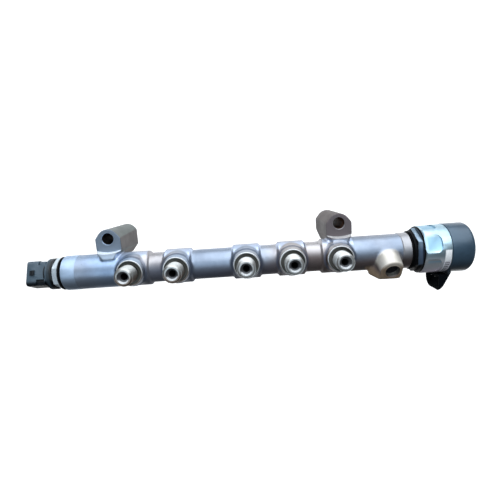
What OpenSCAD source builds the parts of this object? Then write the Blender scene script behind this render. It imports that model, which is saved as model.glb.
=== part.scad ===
// Diesel fuel rail with five injector ports, a return port, a pressure sensor
// at its left end and a pressure control valve at its right end.
// X runs along the rail towards the valve, Z along the bolts and the port studs.
// The origin lies midway between the two bolt holes, on the seat of the bosses.

/* [Mounting] */
// Distance between the two bolt holes
bolt_spacing = 181; // [178:0.5:184]
// Diameter of each bolt hole
bolt_hole_d = 9; // [8.4:0.1:10.5]
// Width of each boss along the rail
boss_w = 20; // [17:0.5:22]
// Distance from the bolt hole to the crown of a boss
boss_crown = 7.6; // [7:0.1:9]
// How far the corners where the crown starts lie outwards of the bolt hole
boss_corner = 0.3; // [-2:0.1:2]
// How far the flank towards the valve leans in from the face of a boss to its seat
boss_draft = 1.5; // [0:0.1:2]
// Distance from the bolt hole to where the flanks of a boss turn in
boss_flank = 9; // [6:0.5:11]
// Distance from the bolt hole to the underside of a boss
boss_depth = 18; // [15:0.5:20]
// Height of the rail's axis above the seat of the bosses
rail_height = 43; // [36:0.5:50]
// Distance of the rail's axis from the plane of the bolts
rail_offset = 26; // [24.5:0.5:28]
// Height of the bosses' front faces above the rail's axis
face_rise = 6; // [3:0.5:8]

/* [Rail tube] */
// Distance from the middle of the bolts to the sensor end of the rail
sensor_end = 128.5; // [124:0.5:136]
// Distance from the middle of the bolts to the valve end of the rail
valve_end = 144.5; // [142:0.5:152]
// Outer diameter of the tube between the ports
tube_d = 23.8; // [22.5:0.1:25]
// Outer diameter of the thick end lengths and the port blocks
thick_d = 27.5; // [26.5:0.1:29]
// Outer diameter of the turned band at the sensor end
sensor_band_d = 27.8; // [26:0.1:29]
// Length of the turned band at the sensor end
sensor_band_len = 11.2; // [6:0.1:16]
// Outer diameter of the turned band at the valve end
valve_band_d = 28.6; // [27.5:0.1:30]
// Length of the turned band at the valve end
valve_band_len = 6.6; // [4:0.1:7.5]
// Diameter of the pressure bore
rail_bore_d = 10; // [7:0.2:11]
// Length of the sloping step at the end of a thick length
step_len = 1.3; // [0.6:0.1:2.5]

/* [Injector ports] */
// Distance of the first port's axis from the middle of the bolts
first_port_x = -72.7; // [-76:0.1:-70]
// Distance from the first port to the second
pitch_1_2 = 35.7; // [32:0.1:40]
// Distance from the second port to the third
pitch_2_3 = 54.1; // [50:0.1:58]
// Distance from the third port to the fourth
pitch_3_4 = 35.3; // [32:0.1:38]
// Distance from the fourth port to the fifth
pitch_4_5 = 36.4; // [34:0.1:39]
// Thread diameter of each port stud
stud_d = 14; // [12:0.5:15]
// Length of each port stud above its collar
stud_len = 14.7; // [12:0.1:18]
// Diameter of the spot-faced collar round each stud
collar_d = 20.2; // [18.5:0.1:22]
// Height of the collars above the rail's axis
collar_height = 17.8; // [16.5:0.1:20]
// Width of the rim round the recess in each collar
collar_rim_w = 0.9; // [0.6:0.1:1.6]
// Depth of the recess in each collar
collar_recess_depth = 2; // [0.5:0.1:3]
// Diameter of the forged pad that carries each collar
pad_d = 24.4; // [23:0.1:26]
// Height above the rail's axis where the pad starts to taper
pad_height = 11; // [9:0.1:12.5]
// Diameter of the mouth of the sealing cone
cone_mouth_d = 8.6; // [7:0.1:9.5]
// Included angle of the sealing cone
cone_angle = 60; // [55:1:70]
// Diameter of the port bore under the sealing cone
port_bore_d = 5.2; // [3:0.1:6]
// Diameter of the throttle between a port and the rail bore
throttle_d = 0.9; // [0.6:0.05:1.5]
// Length of each forged port block along the rail
block_len = 20; // [18:0.5:23]
// How far the thick end lengths run inwards past the end ports
end_block_reach = 12.5; // [11:0.1:15]

/* [Return port] */
// Distance from the valve end of the rail to the return port's axis
return_inset = 17.9; // [16.5:0.1:18.5]
// Angle of the return port below the port studs
return_angle = 30; // [20:1:36]
// Distance from the rail's axis to the face of the return port
return_reach = 23.5; // [22:0.5:28]
// Diameter of the return port at its face
return_d = 18; // [16:0.1:19]
// Distance from the return port's axis to its flat side
return_side = 7.5; // [7:0.1:9]
// Core diameter of the return port's thread
return_hole_d = 10.2; // [8:0.1:11]
// Depth of the return port's threaded hole
return_hole_depth = 10.5; // [8:0.1:11.8]
// Diameter of the passage from the valve chamber to the return port
return_passage_d = 4; // [2:0.1:5]

/* [Pressure sensor] */
// Width of the sensor's hexagon across its flats
sensor_hex_af = 22; // [21:0.5:24]
// Thickness of the sensor's hexagon
sensor_hex_len = 5; // [3:0.1:6.5]
// Diameter of the collar under the hexagon
sensor_collar_d = 26.8; // [25.5:0.1:28]
// Thickness of the collar under the hexagon
sensor_collar_len = 0.8; // [0.6:0.1:2]
// Thickness of the seal ring between the sensor and the rail
sensor_seal_len = 1.9; // [1:0.1:2.4]
// Diameter of the sensor's threaded neck
sensor_neck_d = 16.2; // [14:0.1:18]
// Depth of the sensor's pocket in the rail
sensor_pocket_depth = 13; // [10:0.5:16]
// Diameter of the pressure bore in the sensor
sensor_bore_d = 3; // [2:0.1:4]
// Diameter of the board's seat inside the hexagon
board_seat_d = 16.4; // [15:0.1:17.4]
// Depth of the electronics pocket behind the board
board_seat_depth = 3.4; // [2.6:0.1:4]
// Thickness of the circuit board
board_t = 1.1; // [0.8:0.1:1.4]
// Diameter of the connector's round collar
sensor_flange_d = 25; // [24:0.1:26.5]
// Length of the connector's round collar
sensor_flange_len = 4.6; // [2:0.1:6]
// Length of the taper from the collar to the plug shroud
sensor_taper_len = 1.4; // [1:0.1:6]
// Length of the plug shroud
sensor_shroud_len = 14.8; // [12:0.1:20]
// Width of the plug shroud
sensor_shroud_w = 20; // [16:0.1:22]
// Height of the plug shroud
sensor_shroud_h = 18; // [15:0.1:20]
// Wall of the plug shroud
sensor_wall = 1.6; // [1.2:0.1:2.2]
// Depth of the plug socket
sensor_socket_depth = 11.5; // [9:0.1:14]
// Turn of the plug shroud about the rail's axis
sensor_turn = 22; // [0:1:40]

/* [Control valve] */
// Width of the union nut across its flats
nut_af = 30; // [28:0.5:31]
// Length of the union nut's hexagon
nut_hex_len = 4.2; // [3.5:0.1:7]
// Thickness of the round face in front of the union nut's hexagon
nut_face_len = 1.5; // [0.8:0.1:2.5]
// Length of the round collar behind the union nut's hexagon
nut_collar_len = 0.9; // [0.7:0.1:2]
// Diameter of the union nut's threaded sleeve
nut_sleeve_d = 21.9; // [20:0.1:22.4]
// Length of the union nut's threaded sleeve inside the rail
nut_sleeve_len = 9.4; // [7:0.1:10]
// Thickness of the seal ring between the union nut and the rail
nut_seal_len = 1.2; // [0.8:0.1:2]
// Diameter of the valve housing
housing_d = 37.9; // [36.5:0.1:40]
// Length of the valve housing
housing_len = 19.9; // [18:0.1:26]
// Width across the milled flats of the housing
housing_af = 35; // [33:0.1:35.6]
// Length of the milled flats, from the front of the housing
housing_flat_len = 12.8; // [8:0.1:14]
// Corner radius where the milled flats end
housing_flat_r = 5; // [2:0.1:6]
// Chamfer round the front of the housing
housing_chamfer = 1.2; // [0.5:0.1:2]
// Turn of the milled flats about the rail's axis
housing_turn = 22; // [0:1:60]
// Diameter of the plastic cap
cap_d = 38.7; // [38:0.1:41]
// Length of the plastic cap
cap_len = 17.7; // [16:0.1:22]
// Radius of the cap's rear edge
cap_edge_r = 3.2; // [1:0.1:4]
// Wall of the plastic cap round the coil
cap_wall = 1.85; // [1.5:0.05:2.6]
// Depth of the valve chamber in the rail, from the valve end
chamber_depth = 22; // [21:0.5:24]
// Diameter of the valve chamber
chamber_d = 20.4; // [19.6:0.1:20.8]
// Length of the seat pocket beyond the chamber
seat_len = 9; // [7:0.5:11]
// Diameter of the seat pocket
seat_d = 12.8; // [11.5:0.1:14]
// Diameter of the valve ball
ball_d = 2.5; // [2:0.1:3]
// Diameter of the armature pin
pin_d = 2.5; // [2:0.1:3]
// Diameter of the armature
armature_d = 14.8; // [13:0.1:14.9]
// Depth of the spring's pocket in the armature
spring_pocket_depth = 7; // [5:0.1:8]
// Travel of the armature
armature_travel = 0.4; // [0.2:0.05:0.6]
// Wire diameter of the valve spring
spring_wire_d = 0.7; // [0.5:0.1:0.9]
// Number of turns of the valve spring
spring_turns = 5; // [3:1:7]
// Number of grooves that the winding shows
coil_layers = 9; // [5:1:12]

/* [Valve connector] */
// Width of the valve's plug shroud
plug_w = 23; // [18:0.5:24]
// Wall of the valve's plug shroud
plug_wall = 1.3; // [1:0.1:1.8]
// Height of the valve's plug shroud
plug_height = 12.5; // [11:0.1:16]
// How far the plug's mouth stands in front of the cap
plug_mouth = 6.7; // [6:0.1:9]
// Depth of the plug's socket
plug_depth = 4; // [3.6:0.1:4.4]
// Corner radius of the plug shroud on the side of the port studs
plug_front_r = 3; // [2:0.1:5]
// Corner radius of the plug shroud on the side of the bosses' seats
plug_rear_r = 8; // [2:0.1:9]

/* [Fits] */
// Radial clearance of turned parts that sit in one another
fit = 0.05; // [0.03:0.01:0.08]
// Clearance between faces that do not bear on each other
face_gap = 0.1; // [0.05:0.01:0.2]
// Width of the small chamfers
chamfer = 0.6; // [0.3:0.1:0.8]

/* [Hidden] */
$fn = 64;

eps = 0.01;

// Rail tube and ports
tube_r = tube_d / 2;
thick_r = thick_d / 2;
port_x = [
    first_port_x,
    first_port_x + pitch_1_2,
    first_port_x + pitch_1_2 + pitch_2_3,
    first_port_x + pitch_1_2 + pitch_2_3 + pitch_3_4,
    first_port_x + pitch_1_2 + pitch_2_3 + pitch_3_4 + pitch_4_5
];
stud_top = collar_height + stud_len;
stud_chamfer = 1.3;
relief_len = 2.2;
relief_r = stud_d / 2 - 0.9;
cone_depth = (cone_mouth_d - port_bore_d) / 2 / tan(cone_angle / 2);
throttle_top = rail_bore_d / 2 + 4;

// Mounting bosses
boss_x = [-bolt_spacing / 2, bolt_spacing / 2];
boss_len = rail_height + face_rise;
boss_underside = [-6.4, 2.8];
crown_steps = [[1, 0], [0.76, 0.49], [0.5, 0.83], [0.2, 1]];
foot_height = 11;
foot_top_w = [9.2, 17.2];
foot_base_w = [10.8, 20];
foot_end = 8.5;
foot_lean = 1.5;
facing_r = 32;
facing_reach = 15.1;

// Port collars and stud reliefs
collar_flare = 0.3;
collar_land = 2.4;
relief_chamfer = 0.9;

// Return port
return_x = valve_end - return_inset;
return_base_d = 20.6;
block_side = 14.7;
block_drop = 10.1;
block_height = 14.4;
block_corner = 0.8;
block_face = [9.2, 7.8];
block_shoulder = [7, 4];
return_mouth = 1;

// Sensor, measured outwards from the sensor end of the rail
neck_fit_r = sensor_neck_d / 2 + fit;
collar_at = sensor_seal_len;
hex_at = collar_at + sensor_collar_len;
hex_top = hex_at + sensor_hex_len;
board_at = board_seat_depth + collar_at;
cell_at = collar_at + 0.4;
cell_d = 8;
cell_skin = 0.5;
flange_at = hex_top + face_gap;
shroud_at = flange_at + sensor_flange_len + sensor_taper_len;
shroud_top = shroud_at + sensor_shroud_len;
socket_floor = shroud_top - sensor_socket_depth;
shroud_corner_r = 3;
sensor_pin_pitch = 4;
sensor_pin_w = 0.9;
nub_w = 3.8;
clip_window_at = shroud_top - 14.3;
clip_window_len = 6.4;
clip_window_reach = 4.6;
clip_window_depth = 2;
notch_at = shroud_top - 11.4;
notch_len = 2.4;
notch_reach = 4;
step_drop = 1.1;

// Valve, measured outwards from the valve end of the rail
nut_hex_at = nut_seal_len + nut_face_len;
nut_face_r = 15.4;
nut_collar_at = nut_hex_at + nut_hex_len;
nut_collar_inset = 0.4;
flat_margin = 0.2;
housing_at = nut_collar_at + nut_collar_len + face_gap;
cap_at = housing_at + housing_len + face_gap;
cap_top = cap_at + cap_len;
neck_r = 8.1;
shoulder_at = -nut_sleeve_len - face_gap;
shoulder_len = 3.6;
shoulder_r = chamber_d / 2 - 0.5;
waist_r = 7.2;
seal_wire_d = 1.7;
support_len = 0.8;
seat_at = -chamber_depth - seat_len;
seat_top = -chamber_depth - 2;
seat_hole_d = 1.2;
seat_cone_depth = 1;
ball_r = ball_d / 2;
ball_chamber_r = 2.2;
ball_chamber_top = -chamber_depth + 6;
ball_gap = 0.01;
ball_at = seat_top - seat_hole_d / 2 - seat_cone_depth + (ball_r + ball_gap) * sqrt(2);
pin_tip = ball_at + ball_r + ball_gap;
pole_top = cap_at + 0.1;
pole_r = 7.45;
sleeve_wall = 0.4;
sleeve_r = 7.5;
sleeve_at = housing_at + housing_len - 3.5;
sleeve_top = cap_top - 2.2;
armature_at = pole_top + 0.6;
armature_top = sleeve_top - sleeve_wall - armature_travel - ball_gap;
pin_top = armature_at + 5;
spring_seat = armature_top - spring_pocket_depth;
spring_r = 2.6;
yoke_wall = 1;
bobbin_at = cap_at + 0.3;
bobbin_top = sleeve_top - yoke_wall - fit;
bobbin_r = cap_d / 2 - cap_wall - yoke_wall - 2 * fit;
bobbin_flange = 1.2;
yoke_at = bobbin_at + bobbin_flange + 0.2;
winding_r = bobbin_r - 1;
mouth_rise = 2.2 * plug_wall;
plug_margin = 0.15;
plug_start = max(cap_d, housing_d) / 2 + plug_margin;
plug_reach = plug_start + plug_height;
valve_pin_pitch = 6;
valve_pin_w = 1.2;
valve_pin_t = 0.5;
valve_pin_y = -plug_start - 3.1;
plug_mouth_at = cap_at - plug_mouth;
plug_socket_at = plug_mouth_at + plug_depth;
gusset_low = [plug_mouth_at + 3.3, -plug_reach + 3.8];
gusset_high = [cap_at + 2.3, -plug_start + 1.5];

// Height of the gusset's underside at a distance along the rail
function gusset_at(x) = gusset_low[1] + (gusset_high[1] - gusset_low[1])
    * (x - gusset_low[0]) / (gusset_high[0] - gusset_low[0]);

// Frame of the rail's axis, and frames that run along it from each end

module rail_axis() {
    translate([0, -rail_offset, rail_height]) children();
}

module valve_side() {
    translate([valve_end, -rail_offset, rail_height]) rotate([0, 90, 0]) children();
}

module sensor_side() {
    translate([-sensor_end, -rail_offset, rail_height]) rotate([0, -90, 0]) children();
}

module turned(profile) {
    rotate_extrude() polygon(profile);
}

module bar(r, from, to) {
    translate([0, 0, from]) cylinder(r = r, h = to - from);
}

module tube(r_out, r_in, from, to) {
    difference() {
        bar(r_out, from, to);
        bar(r_in, from - 1, to + 1);
    }
}

module hexagon(af, from, to) {
    translate([0, 0, from]) rotate([0, 0, 30])
        cylinder(r = af / 2 / cos(30), h = to - from, $fn = 6);
}

module rounded_rect(w, h, r) {
    square([w - 2 * r, h], center = true);
    square([w, h - 2 * r], center = true);
    for (x = [-1, 1], y = [-1, 1])
        translate([x * (w / 2 - r), y * (h / 2 - r)]) circle(r = r, $fn = 48);
}

// Rail body: forged tube, port blocks and pads, studs, bosses and return port

// Outline of one thick length between two distances along the rail
function thick_length(from, to) = [
    [tube_r, from - step_len],
    [thick_r, from],
    [thick_r, to],
    [tube_r, to + step_len]
];

module rail_outline() {
    last = len(port_x) - 1;
    half = block_len / 2;
    middle_blocks = [
        for (i = [1:last - 1])
            each thick_length(port_x[i] - half, port_x[i] + half)
    ];
    band_end = -sensor_end + sensor_band_len;
    band_start = valve_end - valve_band_len;
    polygon(concat(
        [
            [0, -sensor_end],
            [sensor_band_d / 2 - chamfer, -sensor_end],
            [sensor_band_d / 2, -sensor_end + chamfer],
            [sensor_band_d / 2, band_end],
            [thick_r, band_end],
            [thick_r, port_x[0] + end_block_reach],
            [tube_r, port_x[0] + end_block_reach + step_len]
        ],
        middle_blocks,
        [
            [tube_r, port_x[last] - end_block_reach - step_len],
            [thick_r, port_x[last] - end_block_reach],
            [thick_r, band_start - chamfer],
            [valve_band_d / 2, band_start],
            [valve_band_d / 2, valve_end - chamfer],
            [valve_band_d / 2 - chamfer, valve_end],
            [0, valve_end]
        ]
    ));
}

module port_outside() {
    turned([
        [0, 0],
        [pad_d / 2, 0],
        [pad_d / 2, pad_height],
        [collar_d / 2 + collar_flare, collar_height - collar_land],
        [collar_d / 2, collar_height - chamfer / 2],
        [collar_d / 2 - chamfer / 2, collar_height],
        [collar_d / 2 - collar_rim_w, collar_height],
        [collar_d / 2 - collar_rim_w, collar_height - collar_recess_depth],
        [relief_r, collar_height - collar_recess_depth],
        [relief_r, collar_height + relief_len - relief_chamfer],
        [stud_d / 2, collar_height + relief_len],
        [stud_d / 2, stud_top - stud_chamfer],
        [stud_d / 2 - stud_chamfer, stud_top],
        [0, stud_top]
    ]);
}

module port_inside() {
    bar(throttle_d / 2, 0, throttle_top + 1);
    bar(port_bore_d / 2, throttle_top, stud_top);
    turned([
        [0, stud_top - cone_depth],
        [port_bore_d / 2, stud_top - cone_depth],
        [cone_mouth_d / 2, stud_top],
        [cone_mouth_d / 2, stud_top + 1],
        [0, stud_top + 1]
    ]);
}

// Crown of a boss from one corner to the other, in flats
function crown(side) = [
    for (c = crown_steps)
        [side * c[0] * boss_w / 2, boss_corner + c[1] * (boss_crown - boss_corner)]
];

function reversed(list) = [for (i = [len(list) - 1:-1:0]) list[i]];

module boss_section() {
    polygon(concat(
        crown(1),
        reversed(crown(-1)),
        [
            [-boss_w / 2, -boss_flank],
            [boss_underside[0], -boss_depth],
            [boss_underside[1], -boss_depth],
            [boss_w / 2, -boss_flank]
        ]
    ));
}

// Tapered web that carries the front of a boss on the rail
module boss_foot() {
    far = -boss_flank - 1;
    near = -rail_offset + foot_end;
    hull() {
        for (layer = [[0, foot_base_w, near], [foot_height - eps, foot_top_w, near + foot_lean]])
            translate([0, 0, rail_height + layer[0]]) linear_extrude(eps) polygon([
                [-layer[1][1] / 2, far],
                [-layer[1][0] / 2, layer[2]],
                [layer[1][0] / 2, layer[2]],
                [layer[1][1] / 2, far]
            ]);
    }
}

module boss_outside() {
    difference() {
        linear_extrude(boss_len) boss_section();
        rotate([90, 0, 0]) linear_extrude(4 * boss_depth, center = true) polygon([
            [boss_w / 2 - boss_draft, -eps],
            [boss_w / 2, boss_len + eps],
            [boss_w, boss_len + eps],
            [boss_w, -eps]
        ]);
    }
    difference() {
        boss_foot();
        translate([0, facing_r - rail_offset + facing_reach, boss_len])
            cylinder(r = facing_r, h = foot_height, $fn = 96);
    }
}

module boss_inside() {
    bar(bolt_hole_d / 2, -1, boss_len + 1);
    translate([0, 0, boss_len - chamfer])
        cylinder(r1 = bolt_hole_d / 2, r2 = bolt_hole_d / 2 + chamfer, h = chamfer + eps);
}

// One level of the return port's flat-sided lower part
module block_level(height, left, drop) {
    translate([0, 0, height - eps]) linear_extrude(eps) polygon([
        [-block_shoulder[0], block_shoulder[1]],
        [-left, -drop / 2],
        [-left, -drop],
        [return_side - block_corner, -drop],
        [return_side, 0]
    ]);
}

// Flat-sided lower part of the return port
module return_block() {
    hull() {
        block_level(return_reach, block_face[0], block_face[1]);
        block_level(block_height, block_side, block_drop);
        block_level(thick_r / 2, block_side, block_face[1]);
    }
}

module return_outside() {
    difference() {
        union() {
            turned([
                [0, 0],
                [return_base_d / 2, 0],
                [return_base_d / 2, thick_r],
                [return_d / 2, return_reach - chamfer],
                [return_d / 2 - chamfer, return_reach],
                [0, return_reach]
            ]);
            return_block();
        }
        translate([return_side, -return_base_d, -eps])
            cube([return_base_d, 2 * return_base_d, return_reach + 1]);
        rotate([90, 0, 90]) linear_extrude(2 * return_base_d, center = true) polygon([
            [-block_face[1], return_reach],
            [-block_drop, block_height],
            [-return_base_d, block_height],
            [-return_base_d, return_reach + 1],
            [-block_face[1], return_reach + 1]
        ]);
    }
}

module return_inside() {
    bar(return_passage_d / 2, chamber_d / 4, return_reach);
    bar(return_hole_d / 2, return_reach - return_hole_depth, return_reach + 1);
    translate([0, 0, return_reach - return_mouth])
        cylinder(r1 = return_hole_d / 2, r2 = return_hole_d / 2 + return_mouth, h = return_mouth + eps);
}

module rail_inside() {
    rotate([0, 90, 0]) turned([
        [0, -sensor_end - 1],
        [neck_fit_r, -sensor_end - 1],
        [neck_fit_r, -sensor_end + sensor_pocket_depth],
        [rail_bore_d / 2, -sensor_end + sensor_pocket_depth + neck_fit_r - rail_bore_d / 2],
        [rail_bore_d / 2, valve_end + seat_at],
        [seat_d / 2 + fit, valve_end + seat_at],
        [seat_d / 2 + fit, valve_end - chamber_depth],
        [chamber_d / 2, valve_end - chamber_depth],
        [chamber_d / 2, valve_end - nut_sleeve_len],
        [nut_sleeve_d / 2 + fit, valve_end - nut_sleeve_len],
        [nut_sleeve_d / 2 + fit, valve_end + 1],
        [0, valve_end + 1]
    ]);
}

module return_frame() {
    translate([return_x, 0, 0]) rotate([return_angle, 0, 0]) children();
}

module rail_body() {
    color("lightsteelblue") difference() {
        union() {
            rail_axis() rotate([0, 90, 0]) rotate_extrude() rail_outline();
            for (x = port_x) rail_axis() translate([x, 0, 0]) port_outside();
            for (x = boss_x) translate([x, 0, 0]) boss_outside();
            rail_axis() return_frame() return_outside();
        }
        rail_axis() rail_inside();
        for (x = port_x) rail_axis() translate([x, 0, 0]) port_inside();
        for (x = boss_x) translate([x, 0, 0]) boss_inside();
        rail_axis() return_frame() return_inside();
    }
}

// Pressure sensor

module sensor_body() {
    hex_r = sensor_hex_af / 2 / cos(30);
    color("gainsboro") sensor_side() difference() {
        union() {
            turned([
                [0, -sensor_pocket_depth - 1.6],
                [rail_bore_d / 2 + 1.2, -sensor_pocket_depth - 1.6],
                [sensor_neck_d / 2, -sensor_pocket_depth + 1],
                [sensor_neck_d / 2, collar_at],
                [sensor_collar_d / 2 - chamfer / 2, collar_at],
                [sensor_collar_d / 2, collar_at + chamfer / 2],
                [sensor_collar_d / 2, hex_at - chamfer / 2],
                [sensor_collar_d / 2 - chamfer / 2, hex_at],
                [0, hex_at]
            ]);
            intersection() {
                hexagon(sensor_hex_af, hex_at - eps, hex_top);
                turned([
                    [0, 0],
                    [hex_r, 0],
                    [hex_r, hex_top - 1],
                    [sensor_hex_af / 2 - 0.2, hex_top],
                    [0, hex_top]
                ]);
            }
        }
        bar(sensor_bore_d / 2, -sensor_pocket_depth - 2, cell_at + 1);
        bar(cell_d / 2 + 2.2, cell_at, hex_top + 1);
        bar(board_seat_d / 2, board_at, hex_top + 1);
    }
}

module sensor_seal_ring() {
    color("black") sensor_side()
        tube(sensor_collar_d / 2 - 0.7, sensor_neck_d / 2 + 0.2, 0, sensor_seal_len);
}

module sensor_pressure_cell() {
    color("silver") sensor_side() difference() {
        bar(cell_d / 2, cell_at, board_at);
        bar(sensor_bore_d / 2, cell_at - 1, board_at - cell_skin);
    }
}

module sensor_circuit_board() {
    color("darkgreen") sensor_side()
        bar(board_seat_d / 2 - fit, board_at, board_at + board_t);
}

module sensor_terminal_place(i) {
    rotate([0, 0, sensor_turn]) translate([0, (i - 2) * sensor_pin_pitch, 0]) children();
}

module sensor_terminal(i) {
    top = shroud_top - 3;
    color("gold") sensor_side() sensor_terminal_place(i)
        translate([-sensor_pin_w / 2, -sensor_pin_w / 2, board_at + board_t])
            cube([sensor_pin_w, sensor_pin_w, top - board_at - board_t]);
}

// Shroud of the sensor's plug, before its turn: the front face looks along X,
// the way the port studs point
module sensor_shroud() {
    front = sensor_shroud_h / 2;
    edge = sensor_shroud_w / 2;
    difference() {
        translate([0, 0, shroud_at - eps]) linear_extrude(sensor_shroud_len)
            rounded_rect(sensor_shroud_h, sensor_shroud_w, shroud_corner_r);
        translate([0, 0, socket_floor]) linear_extrude(sensor_socket_depth + 1)
            rounded_rect(sensor_shroud_h - 2 * sensor_wall - 1.6,
                sensor_shroud_w - 2 * sensor_wall, 1.4);
        // Clip window in the lower front edge, a notch in the upper one and a
        // step behind the notch
        translate([front - clip_window_depth, -edge - 1, clip_window_at])
            cube([clip_window_depth + 1, clip_window_reach + 1, clip_window_len]);
        translate([front - clip_window_depth, edge - notch_reach, notch_at])
            cube([clip_window_depth + 1, notch_reach + 1, notch_len]);
        translate([-front - 1, edge - step_drop, shroud_at - 1])
            cube([2 * front + 2, step_drop + 1, notch_at + notch_len - shroud_at + 1]);
    }
    // Latch nub on the front face
    translate([front - eps, nub_w / 2, 0]) rotate([90, 0, 0])
        linear_extrude(nub_w) polygon([
            [0, shroud_top - 6.4],
            [1.5, shroud_top - 6.4],
            [1.5, shroud_top - 5],
            [0, shroud_top - 1.9]
        ]);
}

module sensor_connector() {
    flange_r = sensor_flange_d / 2;
    neck_half = sensor_shroud_w / 2 + 0.4;
    color("darkslategray") sensor_side() difference() {
        union() {
            turned([
                [0, board_at + board_t],
                [board_seat_d / 2 - fit, board_at + board_t],
                [board_seat_d / 2 - fit, flange_at],
                [flange_r, flange_at],
                [flange_r, flange_at + sensor_flange_len],
                [neck_half, shroud_at],
                [neck_half, shroud_at + 1],
                [0, shroud_at + 1]
            ]);
            rotate([0, 0, sensor_turn]) sensor_shroud();
        }
        for (i = [1:3])
            sensor_terminal_place(i) translate([-sensor_pin_w / 2, -sensor_pin_w / 2, board_at])
                cube([sensor_pin_w, sensor_pin_w, shroud_top]);
    }
}

// Pressure control valve, outer pieces

module nut_seal_ring() {
    color("black") valve_side()
        tube(valve_band_d / 2 + 0.1, nut_sleeve_d / 2 + 0.2, 0, nut_seal_len);
}

module valve_union_nut() {
    corner_r = nut_af / 2 / cos(30);
    collar_r = housing_d / 2 - nut_collar_inset;
    color("dimgray") valve_side() difference() {
        union() {
            bar(nut_sleeve_d / 2, -nut_sleeve_len, nut_seal_len + 1);
            bar(nut_face_r, nut_seal_len, nut_hex_at + 1);
            intersection() {
                hexagon(nut_af, nut_hex_at, nut_collar_at + eps);
                turned([
                    [0, 0],
                    [nut_face_r, 0],
                    [nut_face_r, nut_hex_at],
                    [corner_r, nut_hex_at + 1.1],
                    [corner_r, nut_collar_at + 1],
                    [0, nut_collar_at + 1]
                ]);
            }
            turned([
                [0, nut_collar_at],
                [collar_r - nut_collar_len, nut_collar_at],
                [collar_r, nut_collar_at + nut_collar_len - 0.3],
                [collar_r, nut_collar_at + nut_collar_len],
                [0, nut_collar_at + nut_collar_len]
            ]);
        }
        bar(neck_r + fit, -nut_sleeve_len - 1, housing_at + 1);
    }
}

// Cutter for one milled flat: square at the front of the housing, with round
// corners where the flat ends, laid on a plane that faces the Z axis
module flat_cutter() {
    reach = housing_flat_len + housing_chamfer;
    width = 2 * (sqrt(pow(housing_d / 2, 2) - pow(housing_af / 2, 2)) + flat_margin);
    translate([housing_af / 2, 0, housing_at + housing_flat_len - reach / 2])
        rotate([0, 90, 0]) linear_extrude(housing_d)
            union() {
                rounded_rect(reach, width, housing_flat_r);
                translate([0, -width / 2]) square([reach / 2, width]);
            }
}

module valve_housing() {
    r = housing_d / 2;
    top = housing_at + housing_len;
    color("lightblue") valve_side() difference() {
        turned([
            [0, housing_at],
            [r - housing_chamfer, housing_at],
            [r, housing_at + housing_chamfer],
            [r, top - chamfer / 2],
            [r - chamfer / 2, top],
            [0, top]
        ]);
        bar(neck_r + fit, housing_at - 1, sleeve_at + eps);
        bar(sleeve_r + sleeve_wall + fit, sleeve_at, top + 1);
        for (k = [0:5])
            rotate([0, 0, 180 - housing_turn + 60 * k]) flat_cutter();
    }
}

// Side view of the valve's plug shroud: distance along the rail against distance
// from its axis, with the mouth facing the rail and a gusset back to the cap
module plug_side() {
    polygon([
        [plug_mouth_at, -plug_start],
        [plug_mouth_at, -plug_reach],
        gusset_low,
        gusset_high,
        [gusset_high[0], -cap_d / 4],
        [cap_at, -cap_d / 4],
        [cap_at, -plug_start]
    ]);
}

// Side view of the socket inside it
module socket_side() {
    ceiling = -plug_start - plug_wall;
    polygon([
        [plug_mouth_at - 1, ceiling],
        [plug_mouth_at - 1, -plug_reach + 1.6 * plug_wall],
        [plug_mouth_at, -plug_reach + 1.6 * plug_wall],
        [gusset_low[0] - 0.85 * plug_wall, gusset_low[1] + 0.55 * plug_wall],
        [plug_socket_at, gusset_at(plug_socket_at) + mouth_rise],
        [plug_socket_at, ceiling]
    ]);
}

// Corner left outside a round of radius r at the low end of a section
module corner_cut(low, side, r) {
    translate([low, side > 0 ? side - r : side]) difference() {
        translate([-1, side > 0 ? 0 : -1]) square([r + 1, r + 1]);
        translate([r, side > 0 ? 0 : r]) circle(r = r, $fn = 48);
    }
}

// Section of the shroud across the rail, seen along it
module plug_section(inset) {
    low = -plug_reach + inset;
    half = plug_w / 2 - inset;
    difference() {
        translate([low, -half]) square([plug_reach, 2 * half]);
        corner_cut(low, half, plug_front_r - inset / 2);
        corner_cut(low, -half, plug_rear_r - inset / 2);
    }
}

module plug_prism(inset) {
    intersection() {
        translate([0, 0, -plug_w / 2]) linear_extrude(plug_w)
            if (inset > 0) socket_side();
            else plug_side();
        translate([plug_mouth_at - 2, 0, 0]) rotate([90, 0, 90])
            linear_extrude(cap_len) plug_section(inset);
    }
}

// Upright frame at the valve end: X along the rail, Y towards the bosses
module valve_upright() {
    translate([valve_end, -rail_offset, rail_height]) children();
}

// Strip that runs from the bobbin down through the plug's top wall to its socket
module valve_terminal_shape(i) {
    t = valve_pin_t;
    tip = plug_mouth_at + 0.8;
    bend = plug_socket_at + 0.5;
    back = bobbin_at + 0.05;
    lead_y = -plug_start - 0.2 - t;
    translate([0, 0, (i - 1.5) * valve_pin_pitch - valve_pin_w / 2]) {
        translate([tip, valve_pin_y, 0]) cube([bend + t - tip, t, valve_pin_w]);
        translate([bend, valve_pin_y, 0]) cube([t, lead_y + t - valve_pin_y, valve_pin_w]);
        translate([bend, lead_y, 0]) cube([back + t - bend, t, valve_pin_w]);
        translate([back, lead_y, 0]) cube([t, -lead_y - bobbin_r + 2, valve_pin_w]);
    }
}

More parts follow.
